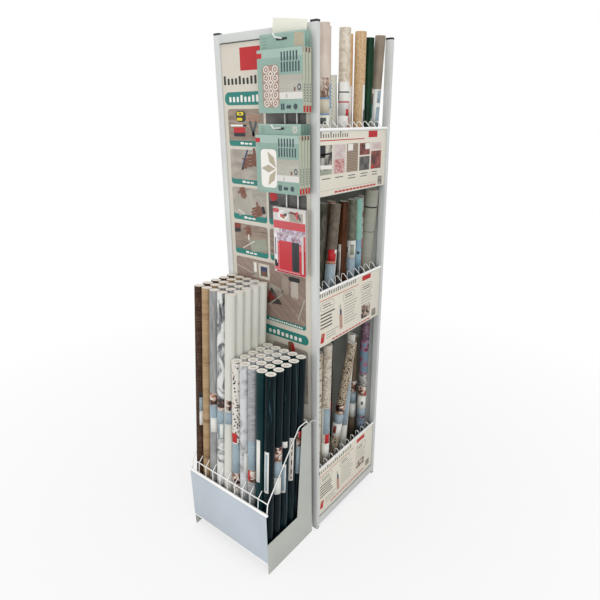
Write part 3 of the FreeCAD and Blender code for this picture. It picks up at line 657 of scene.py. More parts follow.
def pack_print(count, left, low, tab_top, lattice):
    """The fields on the front pack, on its tab and on the right sides of the whole stack, with painted shade
    in the gap behind each pack.
    """
    front = LAST_BACK - count * PACK_PITCH + 0.0003
    face = ("front", front)
    top = low + PACK_H
    right = left + PACK_W

    def at(low_x, low_z, high_x, high_z):
        return left + low_x, low + low_z, left + high_x, low + high_z

    lay(face,
        (mint_pale, (left + 0.0005, top - 0.023, right - 0.0005, top - 0.0005)),
        (red, (left + 0.0005, top - 0.0225, left + 0.019, top - 0.009), 0, 2))
    row_on(face, slate_ink, left + 0.0935, left + 0.1605, low + 0.139, (0.024,) * 6, 0.5, 2)
    row_on(face, slate_ink, left + 0.0935, left + 0.168, low + 0.11, (0.026,) * 7, 0.5, 2)
    lay(face,
        (wall_scene, at(0.0855, 0.038, 0.1735, 0.099), 0, 2),
        (grey_ink, at(0.0855, 0.088, 0.1735, 0.103), 0, 3),
        (tool_card, at(0.086, 0.038, 0.1735, 0.056), 0, 3),
        (slate_ink, at(0.154, 0.06, 0.168, 0.078), 0, 3, 0, 24),
        (grey_ink, at(0.157, 0.064, 0.165, 0.074), 0, 4, 0, 24),
        (brown_ink, at(0.141, 0.059, 0.147, 0.069), 0.001, 3))
    outline_on(face, grey_ink, at(0.104, 0.06, 0.116, 0.082), 0.004, 0.0012, 3)
    lay(face,
        (grey_ink, at(0.112, 0.041, 0.116, 0.052), 0, 4),
        (slate_ink, at(0.09, 0.009, 0.104, 0.026), 0.001),
        (mint, at(0.0965, 0.009, 0.0975, 0.026), 0, 2))
    for start in (0.112, 0.12):
        put_on(face, slate_ink, at(start, 0.012, start + 0.009, 0.022), 0.001, 1, -0.5)
    put_on(face, slate_ink, at(0.138, 0.009, 0.154, 0.026), 0, 1, 0, 8)
    window_tile(("front", front + 0.0005), left, low, lattice)
    tab = ("front", front + 0.0124)
    put_on(tab, mint_pale, (left + 0.003, tab_top - 0.004, right - 0.003, tab_top - 0.001))
    slot_z = tab_top - (0.017 if lattice else 0.013)
    put_on(tab, black_ink, (left + 0.066, slot_z - 0.0025, left + 0.108, slot_z + 0.0035), 0.0025)
    if lattice:
        put_on(tab, beige, (left + 0.134, top + 0.001, left + 0.168, tab_top - 0.005))
    else:
        for petal in range(8):
            turn = petal * math.radians(45)
            x = left + 0.149 + 0.0075 * math.cos(turn)
            z = tab_top - 0.0155 + 0.0075 * math.sin(turn)
            put_on(tab, cream, (x - 0.0055, z - 0.0024, x + 0.0055, z + 0.0024), 0, 1, turn, 4)
    for row in range(4):
        z = top + 0.006 + row * (tab_top - top - 0.01) / 4
        put_on(tab, gap_shade_and_mark_green, (left + 0.012, z, left + 0.028 + 0.003 * (row % 2), z + 0.001))
    plane = ("side", right)
    for index in range(count):
        back = LAST_BACK - index * PACK_PITCH
        near = back - 0.0132
        # The dark green strip at the back edge of each pack's side is painted shade in the gap behind it; the
        # other fields are print.
        lay(plane,
            (side_green, (near + 0.0004, low + 0.0005, back - 0.0008, top - 0.0005)),
            (gap_shade_and_mark_green, (back - 0.0014, low + 0.0005, back - 0.0002, top - 0.0005), 0, 2),
            (red, (near + 0.0016, low + 0.002, back - 0.0034, low + 0.02), 0.001, 2))
        corner_ink = beige if index == count - 1 else brown_ink
        put_on(plane, corner_ink, (near + 0.0006, top - 0.014, near + 0.0066, top - 0.002), 0, 2)
        for mark in range(7):
            z = low + 0.03 + mark * 0.0072
            put_on(plane, slate_ink, (near + 0.0045, z, near + 0.0078, z + 0.004), 0, 2)


tool_card = ink("tool_card_ink", (216, 212, 208), mottle=0.02)
pack_print(3, 0.026, 1.5688, 1.7828, True)
finish_print("pack_print_upper")
pack_print(4, 0.02, 1.3353, 1.5383, False)
finish_print("pack_print_lower")

# Tool packs: printed cards on the lowest hook, each with a glossy bag of small tools stapled
# to it.
bag_red = ink("bag_red", (190, 40, 50), 0.15)
bag_pink = ink("bag_pink", (206, 96, 104), 0.15, 0.2)
bag_white = ink("bag_white", (226, 222, 222), 0.15)
bag_black = ink("bag_black", (34, 38, 42), 0.15)
bag_scene = picture("bag_scene", (128, 70, 92), (214, 212, 226), 90)
BACKING_EDGE = 0.0003
softened("tool_packs", BACKING_EDGE, tool_card)
BAG = ("front", -0.1067)
lay(BAG,
    (bag_scene, (0.0645, 1.17, 0.1715, 1.1995), 0.001),
    (bag_pink, (0.0545, 1.0735, 0.1715, 1.172), 0.002),
    (bag_red, (0.0765, 1.078, 0.131, 1.177), 0.002, 2),
    (bag_black, (0.131, 1.078, 0.1615, 1.177), 0.002, 2),
    (bag_red, (0.1625, 1.074, 0.172, 1.15), 0.002, 2),
    (dark_grey, (0.135, 1.082, 0.1362, 1.174), 0, 3),
    (bag_black, (0.055, 1.084, 0.07, 1.14), 0.004, 2),
    (bag_white, (0.055, 1.108, 0.069, 1.199), 0.005, 3),
    (dark_grey, (0.0585, 1.126, 0.0625, 1.185), 0.0015, 4),
    (bag_white, (0.0655, 1.098, 0.069, 1.15), 0.001, 4))
finish_print("tool_pack_bag_print")
CARD = ("front", -0.0977)
lay(CARD,
    (bag_red, (0.0455, 1.214, 0.1805, 1.24)),
    (bag_scene, (0.07, 1.2005, 0.1805, 1.214)),
    (bag_red, (0.173, 1.0635, 0.1812, 1.15)),
    (bag_pink, (0.173, 1.15, 0.1812, 1.2)),
    (bag_red, (0.055, 1.0635, 0.173, 1.0715)),
    (grey_scene, (0.115, 1.241, 0.17, 1.27)),
    (white_ink, (0.064, 1.2425, 0.108, 1.276), 0, 2, 0, 32),
    (bag_red, (0.076, 1.25, 0.096, 1.262), 0.003, 3, -0.3),
    (bag_black, (0.09, 1.256, 0.104, 1.27), 0.004, 4),
    (tan, (0.085, 1.248, 0.096, 1.257), 0.003, 4),
    (bag_red, (0.14, 1.252, 0.156, 1.274), 0.002, 3, 0.5),
    (bag_black, (0.152, 1.248, 0.159, 1.268), 0.002, 4, 0.5),
    (red_brown, (0.118, 1.266, 0.144, 1.272), 0.002, 4, -0.1),
    (bag_red, (0.0455, 1.266, 0.07, 1.279), 0.001, 4))
finish_print("tool_pack_card_print")

# Rolls: printed film wound on a core and shrink-wrapped, with a round paper plug in each end.
# One roll of each size is modelled, then copied to each place with its own turn.
paper_end = ink("paper_end", (238, 236, 228), 0.6, 0.03)
rosy_edge = ink("rosy_edge", (226, 190, 178), 0.6, 0.05)
plug_paper = ink("plug_paper", (226, 218, 208), 0.7, 0.05)
label_blue = ink("label_blue", (150, 168, 178), 0.35, 0.12)
label_white = ink("label_white", (226, 226, 220), 0.35, 0.02)
label_sky = ink("label_sky", (104, 152, 192), 0.35, 0.1)
label_mist = ink("label_mist", (130, 166, 182), 0.35, 0.1)
label_cream = ink("label_cream", (200, 194, 174), 0.35, 0.03)
shadows = ((0.38, (28, 24, 24)), (0.46, (112, 68, 50)), (0.53, (190, 148, 126)), (0.62, (214, 212, 206)))
label_picture = mixed_picture("label_picture", 0.35, shadows, 34, (1, 1, 1.4), 2, 1.2)
leaves = ((0.36, (96, 66, 56)), (0.48, (166, 140, 124)), (0.56, (206, 194, 180)))
leaf_picture = mixed_picture("leaf_picture", 0.35, leaves, 90, (1, 1, 0.7), 4, 1.0)


def film(name, colour_of, roughness, coat, relief=0.0):
    """Printed film under a clear wrap. colour_of builds the pattern and may give a height."""
    made = new_material(name, roughness, Specular_IOR_Level=0.1, Coat_Weight=coat, Coat_Roughness=0.15)
    colour, height = colour_of(made)
    return coloured(made, colour, height, relief)


def dark_wood(made):
    fibre = cloud(made, placed(made, (1, 1, 0.06)), 260, 4)
    cross = cloud(made, placed(made, (0.1, 0.1, 1)), 200, 3)
    both = blend(made, 0.45, fibre, cross)
    return graded(made, both, (0.36, (46, 32, 24)), (0.5, (70, 50, 38)), (0.64, (98, 76, 60))), fibre


def light_wood(made):
    rings = cloud(made, placed(made, (0.12, 0.12, 1)), 34, 4, 0.4)
    fine = cloud(made, placed(made, (0.05, 0.05, 1)), 260, 2)
    both = blend(made, 0.3, rings, fine)
    return graded(made, both, (0.34, (124, 98, 70)), (0.45, (166, 138, 104)), (0.7, (184, 158, 122))), fine


def drift(stops, scale, stretch=(1, 1, 1), detail=4, distortion=0.0, rough=0.5):
    """A pattern of one drifting cloud, stretched along or round the roll."""
    def pattern(made):
        cloudy = cloud(made, placed(made, stretch), scale, detail, distortion, rough)
        return graded(made, cloudy, *stops), cloudy
    return pattern


def terrazzo(made):
    cells = add_node(made, "TexVoronoi", {"Vector": placed(made, (1, 1, 0.8)), "Scale": 120})
    chip = graded(made, cells.outputs["Distance"], (0.0, (1, 1, 1, 1)), (0.37, (0, 0, 0, 1)), way="CONSTANT")
    chips = ((0.0, (36, 34, 34)), (0.42, (146, 116, 102)), (0.52, (84, 82, 82)), (0.7, (222, 216, 208)))
    hue = graded(made, cells.outputs["Color"], *chips, way="CONSTANT")
    return blend(made, chip, tone(218, 214, 206), hue), cells.outputs["Distance"]


brushed_grey = drift(((0.35, (128, 130, 130)), (0.65, (166, 166, 164))), 240, (1, 1, 0.05))
marble_stops = ((0.34, (54, 56, 58)), (0.43, (134, 138, 140)), (0.52, (220, 221, 218)))
bold_marble = drift(marble_stops, 16, (1, 1, 0.7), 6, 1.6, 0.62)
plain_white = drift(((0.3, (206, 206, 197)), (0.7, (216, 216, 208))), 5, detail=2)
vein_stops = ((0.36, (150, 148, 146)), (0.46, (186, 188, 190)), (0.56, (208, 209, 210)))
pale_marble = drift(vein_stops, 20, (1, 1, 1), 6, 1.2, 0.6)
silver_weave = drift(((0.35, (138, 139, 141)), (0.65, (180, 181, 182))), 320, (0.15, 0.15, 1), 3)
deep_green = drift(((0.3, (10, 42, 46)), (0.7, (22, 56, 58))), 12, detail=2)
# In the navy film the pale lengthwise streaks are a painted sheen of the shrink wrap over the dark navy
# print.
navy_and_sheen_stops = ((0.4, (1, 16, 22)), (0.62, (4, 28, 34)), (0.74, (44, 72, 80)))
navy = drift(navy_and_sheen_stops, 190, (1, 1, 0.01), 3)
ROLL_SIDES = 48
RIM = 0.0006
WOUND_WALL = 0.0039
PLUG_DEPTH = 0.0012


def modelled_roll(length, radius):
    """A roll standing on the origin: a cylinder with a narrow rim and a plug sunk in each end."""
    bpy.ops.mesh.primitive_cylinder_add(vertices=ROLL_SIDES, radius=radius, depth=length,
        location=(0, 0, length / 2))
    piece = bpy.context.object
    bpy.ops.object.transform_apply(location=True)
    piece.data.materials.append(paper_end)
    piece.data.materials.append(paper_end)
    piece.data.materials.append(plug_paper)
    bpy.ops.object.mode_set(mode="EDIT")
    bpy.ops.mesh.select_all(action="DESELECT")
    bpy.ops.object.mode_set(mode="OBJECT")
    for polygon in piece.data.polygons:
        polygon.select = abs(polygon.normal.z) > 0.9
        polygon.material_index = 1 if polygon.select else 0
    bpy.ops.object.mode_set(mode="EDIT")
    bpy.context.tool_settings.mesh_select_mode = (False, False, True)
    bpy.ops.mesh.inset(thickness=RIM)
    bpy.ops.mesh.inset(thickness=WOUND_WALL)
    bpy.ops.mesh.extrude_region_shrink_fatten(TRANSFORM_OT_shrink_fatten={"value": -PLUG_DEPTH})
    bpy.ops.object.material_slot_assign()
    bpy.ops.object.mode_set(mode="OBJECT")
    for polygon in piece.data.polygons:
        middle = polygon.center
        if abs(polygon.normal.z) > 0.9 and math.hypot(middle.x, middle.y) < 0.001:
            polygon.material_index = 2
    smooth_by_angle(piece, 35)
    return piece


def stand_matrix(x, y, floor_z, radius, lean_back=0.0, lean_right=0.0, spin=0.0):
    """Where a roll stands: on the rim of its lower end, leaning back and to the right."""
    along = Vector((math.tan(math.radians(lean_right)), math.tan(math.radians(lean_back)), 1)).normalized()
    lift = radius * math.sqrt(max(0, 1 - along.z ** 2))
    tilt = Vector((0, 0, 1)).rotation_difference(along).to_matrix().to_4x4()
    return Matrix.Translation((x, y, floor_z + lift)) @ tilt @ Matrix.Rotation(spin, 4, "Z")


def copied(model, place, materials):
    piece = model.copy()
    piece.data = model.data.copy()
    bpy.context.collection.objects.link(piece)
    piece.data.transform(place)
    for index, material in materials.items():
        piece.data.materials[index] = material
    return piece


def wrap_label(place, radius, low, high, middle, width, material, level=1):
    """A strip of label round part of a roll; middle and width are angles in degrees."""
    count = max(2, round(width / 7.5))
    bpy.ops.mesh.primitive_grid_add(x_subdivisions=count, y_subdivisions=1, size=1)
    strip = bpy.context.object
    for vertex in strip.data.vertices:
        angle = math.radians(middle + vertex.co.x * width)
        height = low + (vertex.co.y + 0.5) * (high - low)
        reach = radius + level * LAYER
        vertex.co = (reach * math.cos(angle), reach * math.sin(angle), height)
    strip.data.transform(place)
    strip.data.materials.append(material)
    only(strip)
    bpy.ops.object.shade_smooth()
    prints.append(strip)


def joined(name, parts, slot, *replaced):
    deselect()
    for part in parts:
        part.select_set(True)
    bpy.context.view_layer.objects.active = parts[0]
    bpy.ops.object.join()
    piece = bpy.context.object
    piece.name = name
    piece.data.name = name
    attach(piece, "root")
    if replaced:
        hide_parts(*replaced)


BIN_ROLL_R = 0.018
TALL_ROLL = 0.9
SHORT_ROLL = 0.675
BIN_FLOOR_TOP = 0.107
ROW_PITCH = 0.0385
COLUMN_PITCH = 0.039
ROWS = 5
FULL_TURN = 6.28
tall_model = modelled_roll(TALL_ROLL, BIN_ROLL_R)
short_model = modelled_roll(SHORT_ROLL, BIN_ROLL_R)
spins = random.Random(11)
# Each kind: its model, where its front row stands in y, and how many degrees it leans back.
kinds = {"tall": (tall_model, -0.17737, 5.2), "short": (short_model, -0.16842, 4.0)}
roll_places = {}
designs = (
    ("tall", "dark_wood", dark_wood, 0.6, 0.0, 0.0001),
    ("tall", "light_wood", light_wood, 0.55, 0.0, 0.00005),
    ("tall", "grey", brushed_grey, 0.45, 0.05, 0.00005),
    ("tall", "bold_marble", bold_marble, 0.35, 0.15, 0.0),
    ("tall", "white", plain_white, 0.5, 0.1, 0.0),
    ("short", "terrazzo", terrazzo, 0.4, 0.1, 0.0),
    ("short", "pale_marble", pale_marble, 0.35, 0.15, 0.0),
    ("short", "silver", silver_weave, 0.4, 0.1, 0.0001),
    ("short", "green", deep_green, 0.3, 0.04, 0.0),
    ("short", "navy", navy, 0.25, 0.04, 0.0),
)
for column, (kind, design, pattern, roughness, coat, relief) in enumerate(designs):
    model, last, lean = kinds[kind]
    wound = film("film_" + design, pattern, roughness, coat, relief)
    finishes = {0: wound}
    if design == "white":
        finishes[1] = rosy_edge
    rolls = []
    for row in range(ROWS):
        spin = spins.uniform(0, FULL_TURN)
        x = (column - (len(designs) - 1) / 2) * COLUMN_PITCH
        y = last - (ROWS - 1 - row) * ROW_PITCH
        place = stand_matrix(x, y, BIN_FLOOR_TOP, BIN_ROLL_R, lean)
        roll_places[design, row] = (place, BIN_ROLL_R)
        rolls.append(copied(model, place @ Matrix.Rotation(spin, 4, "Z"), finishes))
    joined("wound_" + design, rolls, "film_" + kind + "_" + design, "rolls_" + kind + "_" + design)

# Labels of the bin rolls: paper inserts under the wrap. Each shows a band of picture, a
# blue-grey band and a white field, and some carry a red tag or a long white strip. NEAR is the
# bearing, in degrees, of the side of a roll that faces the camera.
NEAR = -52.6
LABEL_FILM = 0.00015


def label(key, *bands):
    """Bands round one roll: low and high in mm along it, then middle and width in degrees."""
    place, radius = roll_places[key]
    for low, high, middle, width, material, *level in bands:
        wrap_label(place, radius, low / 1000, high / 1000, NEAR + middle, width, material, *level)


label(("dark_wood", 0), (474, 496, 35, 80, black_ink), (416, 474, 35, 80, label_blue),
      (358, 416, 35, 80, label_white))
label(("light_wood", 0), (474, 504, 80, 45, black_ink), (430, 462, 80, 45, black_ink),
      (374, 430, 80, 45, label_white))
label(("grey", 0), (470, 516, 0, 200, label_picture), (358, 470, 0, 200, label_blue),
      (360, 418, 0, 90, label_white, 2))
label(("bold_marble", 0), (460, 508, 0, 200, label_picture), (406, 460, 0, 200, label_blue),
      (470, 504, 50, 30, red, 2), (348, 412, 5, 75, label_blue, 2), (352, 408, 5, 40, label_white, 3))
label(("white", 0), (474, 520, 30, 120, label_picture), (500, 516, 10, 30, black_ink, 2),
      (478, 494, 10, 30, black_ink, 2), (422, 470, 20, 140, label_blue))
label(("terrazzo", 0), (364, 402, -30, 70, red, 2), (236, 358, -20, 110, label_blue),
      (240, 356, 55, 40, label_white), (180, 236, -10, 120, label_picture))
label(("pale_marble", 0), (342, 400, 60, 30, black_ink), (250, 338, 30, 60, label_white))
label(("silver", 0), (290, 402, 0, 150, label_blue), (236, 284, 0, 180, label_picture),
      (240, 282, -45, 35, red, 2))
label(("green", 0), (256, 424, -30, 50, label_white))
label(("navy", 0), (230, 394, -30, 60, label_white), (240, 384, -30, 24, label_blue, 2))
label(("navy", 1), (332, 390, 30, 150, label_picture), (268, 332, 30, 150, label_blue),
      (200, 268, 20, 100, label_white))
label(("navy", 2), (368, 392, 10, 60, label_white), (182, 300, 0, 60, label_white),
      (190, 290, 0, 34, label_blue, 2))
label(("navy", 3), (208, 386, 0, 70, label_white), (216, 370, 12, 16, label_picture, 2))
label(("navy", 4), (330, 390, 0, 110, label_picture), (365, 392, 30, 40, red, 2),
      (214, 330, 0, 110, label_blue), (216, 326, -40, 16, label_white, 2))
finish_print("bin_roll_labels", LABEL_FILM)

# Marks on the roll ends: a short bar stamped in ink on each paper plug. It is dark on most of
# the taller rolls and grey on the others.
MARK_LENGTH = 0.015
MARK_WIDTH = 0.0042
MARK_TURN = 0.65
MARK_DEPTH = 0.001
tall_designs = [entry[1] for entry in designs if entry[0] == "tall"]
for (design, row), (place, radius) in roll_places.items():
    tall = design in tall_designs
    bpy.ops.mesh.primitive_plane_add(size=1)
    bar = bpy.context.object
    bar.scale = (MARK_LENGTH, MARK_WIDTH, 1)
    bpy.ops.object.transform_apply(location=False, rotation=False, scale=True)
    length = TALL_ROLL if tall else SHORT_ROLL
    on_plug = Matrix.Translation((0, 0, length - MARK_DEPTH)) @ Matrix.Rotation(MARK_TURN, 4, "Z")
    bar.data.transform(place @ on_plug)
    bar.data.materials.append(black_ink if tall and row < ROWS - 1 and design != "white" else grey_ink)
    prints.append(bar)
finish_print("roll_end_marks", LABEL_FILM)

# Tray rolls: single rolls of many designs, wound and wrapped like the others. They stand on the
# tray floors between the divider wires, and lean against the front rods.


def two_tone(low, high, scale, stretch=(1, 1, 1), detail=4, distortion=0.0, narrow=0.15):
    return drift(((0.5 - narrow, low), (0.5 + narrow, high)), scale, stretch, detail, distortion)


def pebbles(made):
    cells = add_node(made, "TexVoronoi", {"Vector": placed(made), "Scale": 136}, feature="DISTANCE_TO_EDGE")
    edge = graded(made, cells.outputs[0], (0.04, (74, 62, 50)), (0.18, (222, 210, 190)))
    hue = cloud(made, placed(made), 90, 2)
    return blend(made, hue, edge, tone(216, 204, 186), "MULTIPLY"), cells.outputs[0]


def flowers(ground, petal, heart, scale):
    def pattern(made):
        cells = add_node(made, "TexVoronoi", {"Vector": placed(made), "Scale": scale})
        waves = cloud(made, placed(made), scale * 1.6, 4, 1.0)
        shape = blend(made, 0.5, cells.outputs["Distance"], waves)
        return graded(made, shape, (0.3, heart), (0.42, petal), (0.52, ground)), waves
    return pattern


def ornament(ground, line, scale):
    """Thin curling lines on a plain ground."""
    stops = ((0.43, ground), (0.46, line), (0.49, ground), (0.54, ground), (0.57, line), (0.6, ground))
    return drift(stops, scale, detail=2, distortion=1.4)


def ribbed(made):
    inputs = {"Vector": placed(made), "Scale": 70, "Distortion": 1.0}
    ribs = add_node(made, "TexWave", inputs, bands_direction="Z").outputs["Fac"]
    return graded(made, ribs, (0.1, (140, 140, 128)), (0.8, (172, 172, 160))), ribs


def spiral(made):
    inputs = {"Vector": placed(made, turn=(0.9, 0, 0)), "Scale": 46}
    turns = add_node(made, "TexWave", inputs, bands_direction="Z").outputs["Fac"]
    return graded(made, turns, (0.0, (150, 160, 150)), (0.14, (222, 222, 210))), turns


tray_stock = {
    "top": (1.356, (
        ("pink_floral", 0.163, 0.0215, 0.463, 0.0175, 0, 0,
            two_tone((196, 178, 166), (218, 206, 194), 22, (1, 1, 0.6))),
        ("pinkish", 0.142, 0.0565, 0.46, 0.0175, 0, 0, two_tone((192, 176, 160), (208, 196, 180), 12)),
        ("spiral_tube", 0.1185, 0.1375, 0.33, 0.015, -2, 0, spiral),
        ("pale_swirl", 0.154, 0.1385, 0.465, 0.0185, 0.8, 0,
            two_tone((190, 178, 158), (226, 216, 200), 44, (1, 1, 1), 5, 2.0)),
        ("orange_tan", 0.119, 0.2185, 0.458, 0.0175, -0.8, 0, two_tone((196, 156, 110), (214, 178, 134), 30)),
        ("cork", 0.153, 0.2345, 0.465, 0.019, 0.4, 0,
            two_tone((170, 134, 94), (224, 198, 160), 300, narrow=0.2)),
        ("dark_green", 0.155, 0.2835, 0.452, 0.0175, 0.5, 0, two_tone((6, 40, 22), (18, 58, 34), 14)),
        ("taupe_top", 0.148, 0.3309, 0.462, 0.018, 0, 3, two_tone((132, 120, 104), (152, 140, 124), 14)),
    )),
    "middle": (0.827, (
        ("dark_swirl", 0.115, 0.0555, 0.45, 0.0175, 3.5, 0,
            two_tone((60, 60, 50), (104, 102, 88), 36, (1, 1, 0.4), 5, 1.5)),
        ("taupe", 0.1525, 0.048, 0.45, 0.019, 7.5, 0, two_tone((96, 88, 76), (118, 108, 96), 60)),
        ("rose", 0.112, 0.1125, 0.45, 0.0175, 3, 0, two_tone((160, 122, 104), (184, 148, 130), 20)),
        ("red_wood", 0.15, 0.1435, 0.45, 0.0175, 2.5, 0,
            two_tone((48, 26, 14), (92, 54, 28), 60, (1, 1, 0.15), 4, 0.8)),
        ("concrete", 0.15, 0.2085, 0.45, 0.0175, 1, 0, two_tone((90, 92, 80), (118, 118, 104), 70)),
        ("mint_plain", 0.15, 0.2595, 0.45, 0.0165, -0.5, 0, two_tone((130, 176, 162), (144, 188, 174), 12)),
        ("thin_floral", 0.141, 0.287, 0.455, 0.012, 0, 0,
            flowers((186, 184, 174), (120, 112, 108), (150, 40, 44), 60)),
        ("ribbed", 0.1325, 0.3255, 0.475, 0.026, 0, 4, ribbed),
    )),
    "lower": (0.062, (
        ("pale_side", 0.15, -0.0115, 0.675, 0.0175, 1.9, 0,
            flowers((206, 200, 184), (168, 150, 128), (72, 60, 48), 60)),
        ("brown_floral", 0.164, 0.027, 0.7, 0.0185, 1.9, 0, ornament((208, 202, 188), (132, 100, 76), 28)),
        ("black", 0.092, 0.1505, 0.675, 0.0175, 0.5, 0, two_tone((14, 16, 16), (30, 32, 34), 16)),
        ("pebble", 0.135, 0.0895, 0.662, 0.019, 9.3, 3.8, pebbles),
        ("white_roll", 0.15, 0.1615, 0.675, 0.0175, 6.1, 0, plain_white),
        ("plain_brown", 0.112, 0.3105, 0.625, 0.0175, 0.5, 0, two_tone((100, 88, 72), (124, 110, 92), 18)),
        ("blue_floral", 0.158, 0.3085, 0.7, 0.0185, 1.6, 0,
            flowers((106, 132, 148), (160, 98, 120), (64, 44, 62), 34)),
    )),
}
for tier, (floor_z, stock) in tray_stock.items():
    rolls = []
    for name, x, y, length, radius, lean_back, lean_right, pattern in stock:
        model = modelled_roll(length, radius)
        place = stand_matrix(x, y, floor_z, radius, lean_back, lean_right)
        model.data.transform(place @ Matrix.Rotation(spins.uniform(0, FULL_TURN), 4, "Z"))
        model.data.materials[0] = film("film_" + name, pattern, 0.45, 0.08)
        roll_places[name] = (place, radius)
        rolls.append(model)
    joined("tray_rolls_" + tier, rolls, "film_tray_" + tier, "rolls_tray_" + tier)

plum_scene = picture("plum_scene", (52, 28, 44), (146, 114, 132), 90)
fern_scene = picture("fern_scene", (48, 50, 52), (206, 204, 196), 100)
sea_scene = picture("sea_scene", (26, 84, 104), (136, 136, 146), 80)
label("pink_floral", (258, 314, 0, 180, leaf_picture), (212, 254, 0, 180, label_cream),
      (254, 258, 0, 180, label_sky, 2), (208, 212, 0, 180, label_sky, 2),
      (150, 208, 0, 180, card_stock), (182, 200, -12, 70, dark_grey, 2))
label("pinkish", (160, 298, 50, 90, label_sky), (176, 226, 62, 40, label_white, 2))
label("pale_swirl", (206, 308, 0, 180, label_white), (276, 280, 8, 130, dark_grey, 2),
      (252, 308, -66, 20, black_ink, 2), (150, 206, 68, 22, red, 2), (246, 250, 0, 160, red, 2),
      (206, 250, 72, 14, red, 2), (206, 226, 40, 34, red, 2), (150, 206, -10, 130, label_white))
label("orange_tan", (170, 300, 0, 120, label_white), (238, 285, 5, 26, dark_grey, 2))
label("cork", (150, 304, 58, 46, label_white), (180, 226, 58, 18, black_ink, 2))
label("dark_green", (268, 298, 76, 34, tan), (244, 268, 76, 34, red_brown), (198, 244, 76, 34, teal),
      (150, 198, 76, 34, label_white))
label("taupe_top", (150, 294, 10, 180, label_white), (180, 280, -44, 24, dark_grey, 2),
      (250, 290, 36, 50, label_blue, 2), (160, 236, 36, 50, label_blue, 2))
label("taupe", (250, 292, 10, 100, red, 2), (278, 292, 46, 28, label_white, 3),
      (240, 250, 0, 150, tan, 2), (120, 240, 0, 150, label_blue), (120, 292, 70, 24, label_white, 2))
label("red_wood", (150, 296, -38, 40, label_white), (190, 270, -38, 12, dark_grey, 2))
label("concrete", (234, 300, 0, 180, label_white), (120, 234, 0, 180, label_blue),
      (255, 275, -56, 26, black_ink, 2), (246, 286, 14, 50, soft_green, 2))
label("mint_plain", (150, 296, 0, 140, label_mist), (240, 250, 10, 34, black_ink, 2))
label("thin_floral", (254, 294, 0, 120, red), (240, 254, 0, 120, cloudy_scene),
      (120, 240, 0, 180, red_scene))
label("ribbed", (409, 414, 0, 180, black_ink), (315, 317, 0, 180, dark_grey),
      (221, 223, 0, 180, grey_ink), (128, 130, 0, 180, dark_grey))
label("pale_side", (240, 330, -20, 120, label_white))
label("brown_floral", (274, 432, -46, 40, label_white), (316, 432, 20, 90, label_blue),
      (274, 316, 30, 60, red, 2), (202, 274, 10, 110, label_white))
label("black", (198, 378, -20, 60, label_white), (328, 378, 30, 60, red))
label("pebble", (350, 394, 0, 200, label_picture), (308, 350, 0, 200, label_blue),
      (250, 308, 0, 200, label_white), (262, 296, -30, 40, red_brown, 2))
label("white_roll", (268, 474, 14, 80, label_blue))
label("plain_brown", (356, 412, 0, 180, label_picture), (300, 356, 0, 180, label_blue),
      (230, 300, 0, 180, label_white))
label("blue_floral", (352, 398, 0, 200, label_picture), (288, 352, 0, 200, label_white),
      (352, 370, 44, 30, red, 2), (398, 458, 0, 200, fern_scene), (618, 699, 0, 220, plum_scene),
      (150, 240, 0, 200, sea_scene), (250, 288, 0, 200, label_blue), (310, 326, 0, 30, dark_grey, 2))
finish_print("tray_roll_labels", LABEL_FILM)
bpy.data.objects.remove(tall_model)
bpy.data.objects.remove(short_model)

# Floor and light: a pale floor that keeps the stand's shadow and turns into the white surround
# further out, and large soft lamps overhead, to the left and to the right.
FLOOR_SIZE = 40
FADE_NEAR = 0.5
FADE_FAR = 2.4
NEAR_GLOW = 0.72
bpy.ops.mesh.primitive_plane_add(size=FLOOR_SIZE)
floor = bpy.context.object
floor.name = "floor"
floor_finish = new_material("floor_finish", 0.9)
seen = add_node(floor_finish, "LightPath").outputs["Is Camera Ray"]
glow = add_node(floor_finish, "Emission", {"Color": (1, 1, 1, 1), "Strength": 1.0})
shader = floor_finish.node_tree.nodes["Principled BSDF"]
shader.inputs["Base Color"].default_value = (0.85, 0.85, 0.85, 1)
reach = add_node(floor_finish, "VectorMath", {0: placed(floor_finish)}, operation="LENGTH").outputs["Value"]
far = add_node(floor_finish, "MapRange",
    {0: reach, 1: FADE_NEAR, 2: FADE_FAR, 3: NEAR_GLOW, 4: 1.0}).outputs[0]
share = add_node(floor_finish, "Math", {0: seen, 1: far}, operation="MULTIPLY")
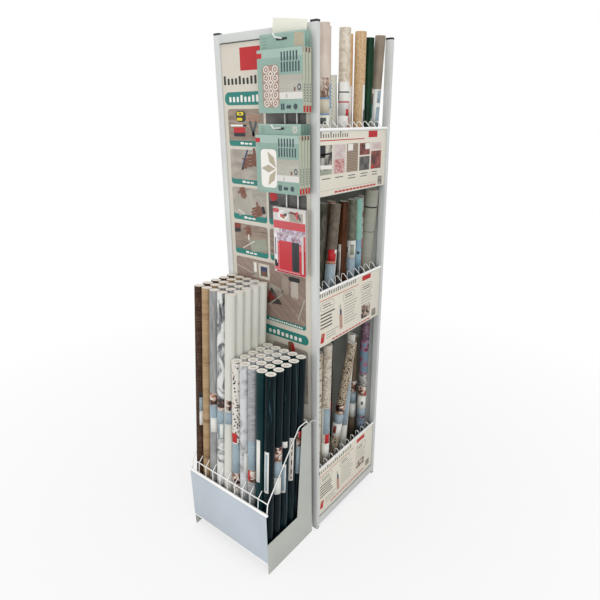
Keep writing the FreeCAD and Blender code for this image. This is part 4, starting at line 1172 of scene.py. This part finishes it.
mixed = add_node(floor_finish, "MixShader", {0: share.outputs[0], 1: shader.outputs[0], 2: glow.outputs[0]})
plug(floor_finish, mixed.outputs[0], floor_finish.node_tree.nodes["Material Output"].inputs["Surface"])
floor.data.materials.append(floor_finish)

world = bpy.data.worlds.new("studio")
bpy.context.scene.world = world
world.use_nodes = True
plain = world.node_tree.nodes["Background"]
plain.inputs["Color"].default_value = (1, 1, 1, 1)
plain.inputs["Strength"].default_value = 0.6
white = add_node(world, "Background", {"Color": (1, 1, 1, 1), "Strength": 1.0})
path = add_node(world, "LightPath")
direct = path.outputs["Is Camera Ray"]
for ray in ("Is Glossy Ray", "Is Transmission Ray"):
    direct = add_node(world, "Math", {0: direct, 1: path.outputs[ray]}, operation="MAXIMUM").outputs[0]
both = add_node(world, "MixShader", {0: direct, 1: plain.outputs[0], 2: white.outputs[0]})
plug(world, both.outputs[0], world.node_tree.nodes["World Output"].inputs["Surface"])

LAMP_AIM = Vector((0, 0, 0.9))
for name, place, size, power in (
    ("top_lamp", (0.2, -0.4, 3.6), 2.4, 32),
    ("right_lamp", (3.6, -2.4, 1.8), 2.2, 48),
    ("left_lamp", (-3.0, -4.2, 0.9), 2.5, 53),
):
    lamp = bpy.data.lights.new(name, "AREA")
    lamp.size = size
    lamp.energy = power
    holder = bpy.data.objects.new(name, lamp)
    bpy.context.collection.objects.link(holder)
    holder.location = place
    holder.rotation_euler = (LAMP_AIM - Vector(place)).to_track_quat("-Z", "Y").to_euler()

# Camera: at standing height to the right of the front, looking a little down on the stand.
# Both angles are in degrees, and the heading is counted from straight on.
LOOK_DOWN = 20.3
HEADING = 37.4
eye = bpy.data.cameras.new("eye")
eye.sensor_width = 36
eye.lens = 29.34
eye.shift_x = -0.0283
eye.shift_y = -0.0017
viewer = bpy.data.objects.new("eye", eye)
bpy.context.collection.objects.link(viewer)
viewer.location = (1.1394, -1.2911, 1.555)
viewer.rotation_euler = (math.radians(90 - LOOK_DOWN), 0, math.radians(HEADING))
bpy.context.scene.camera = viewer
bpy.context.scene.view_settings.view_transform = "Standard"
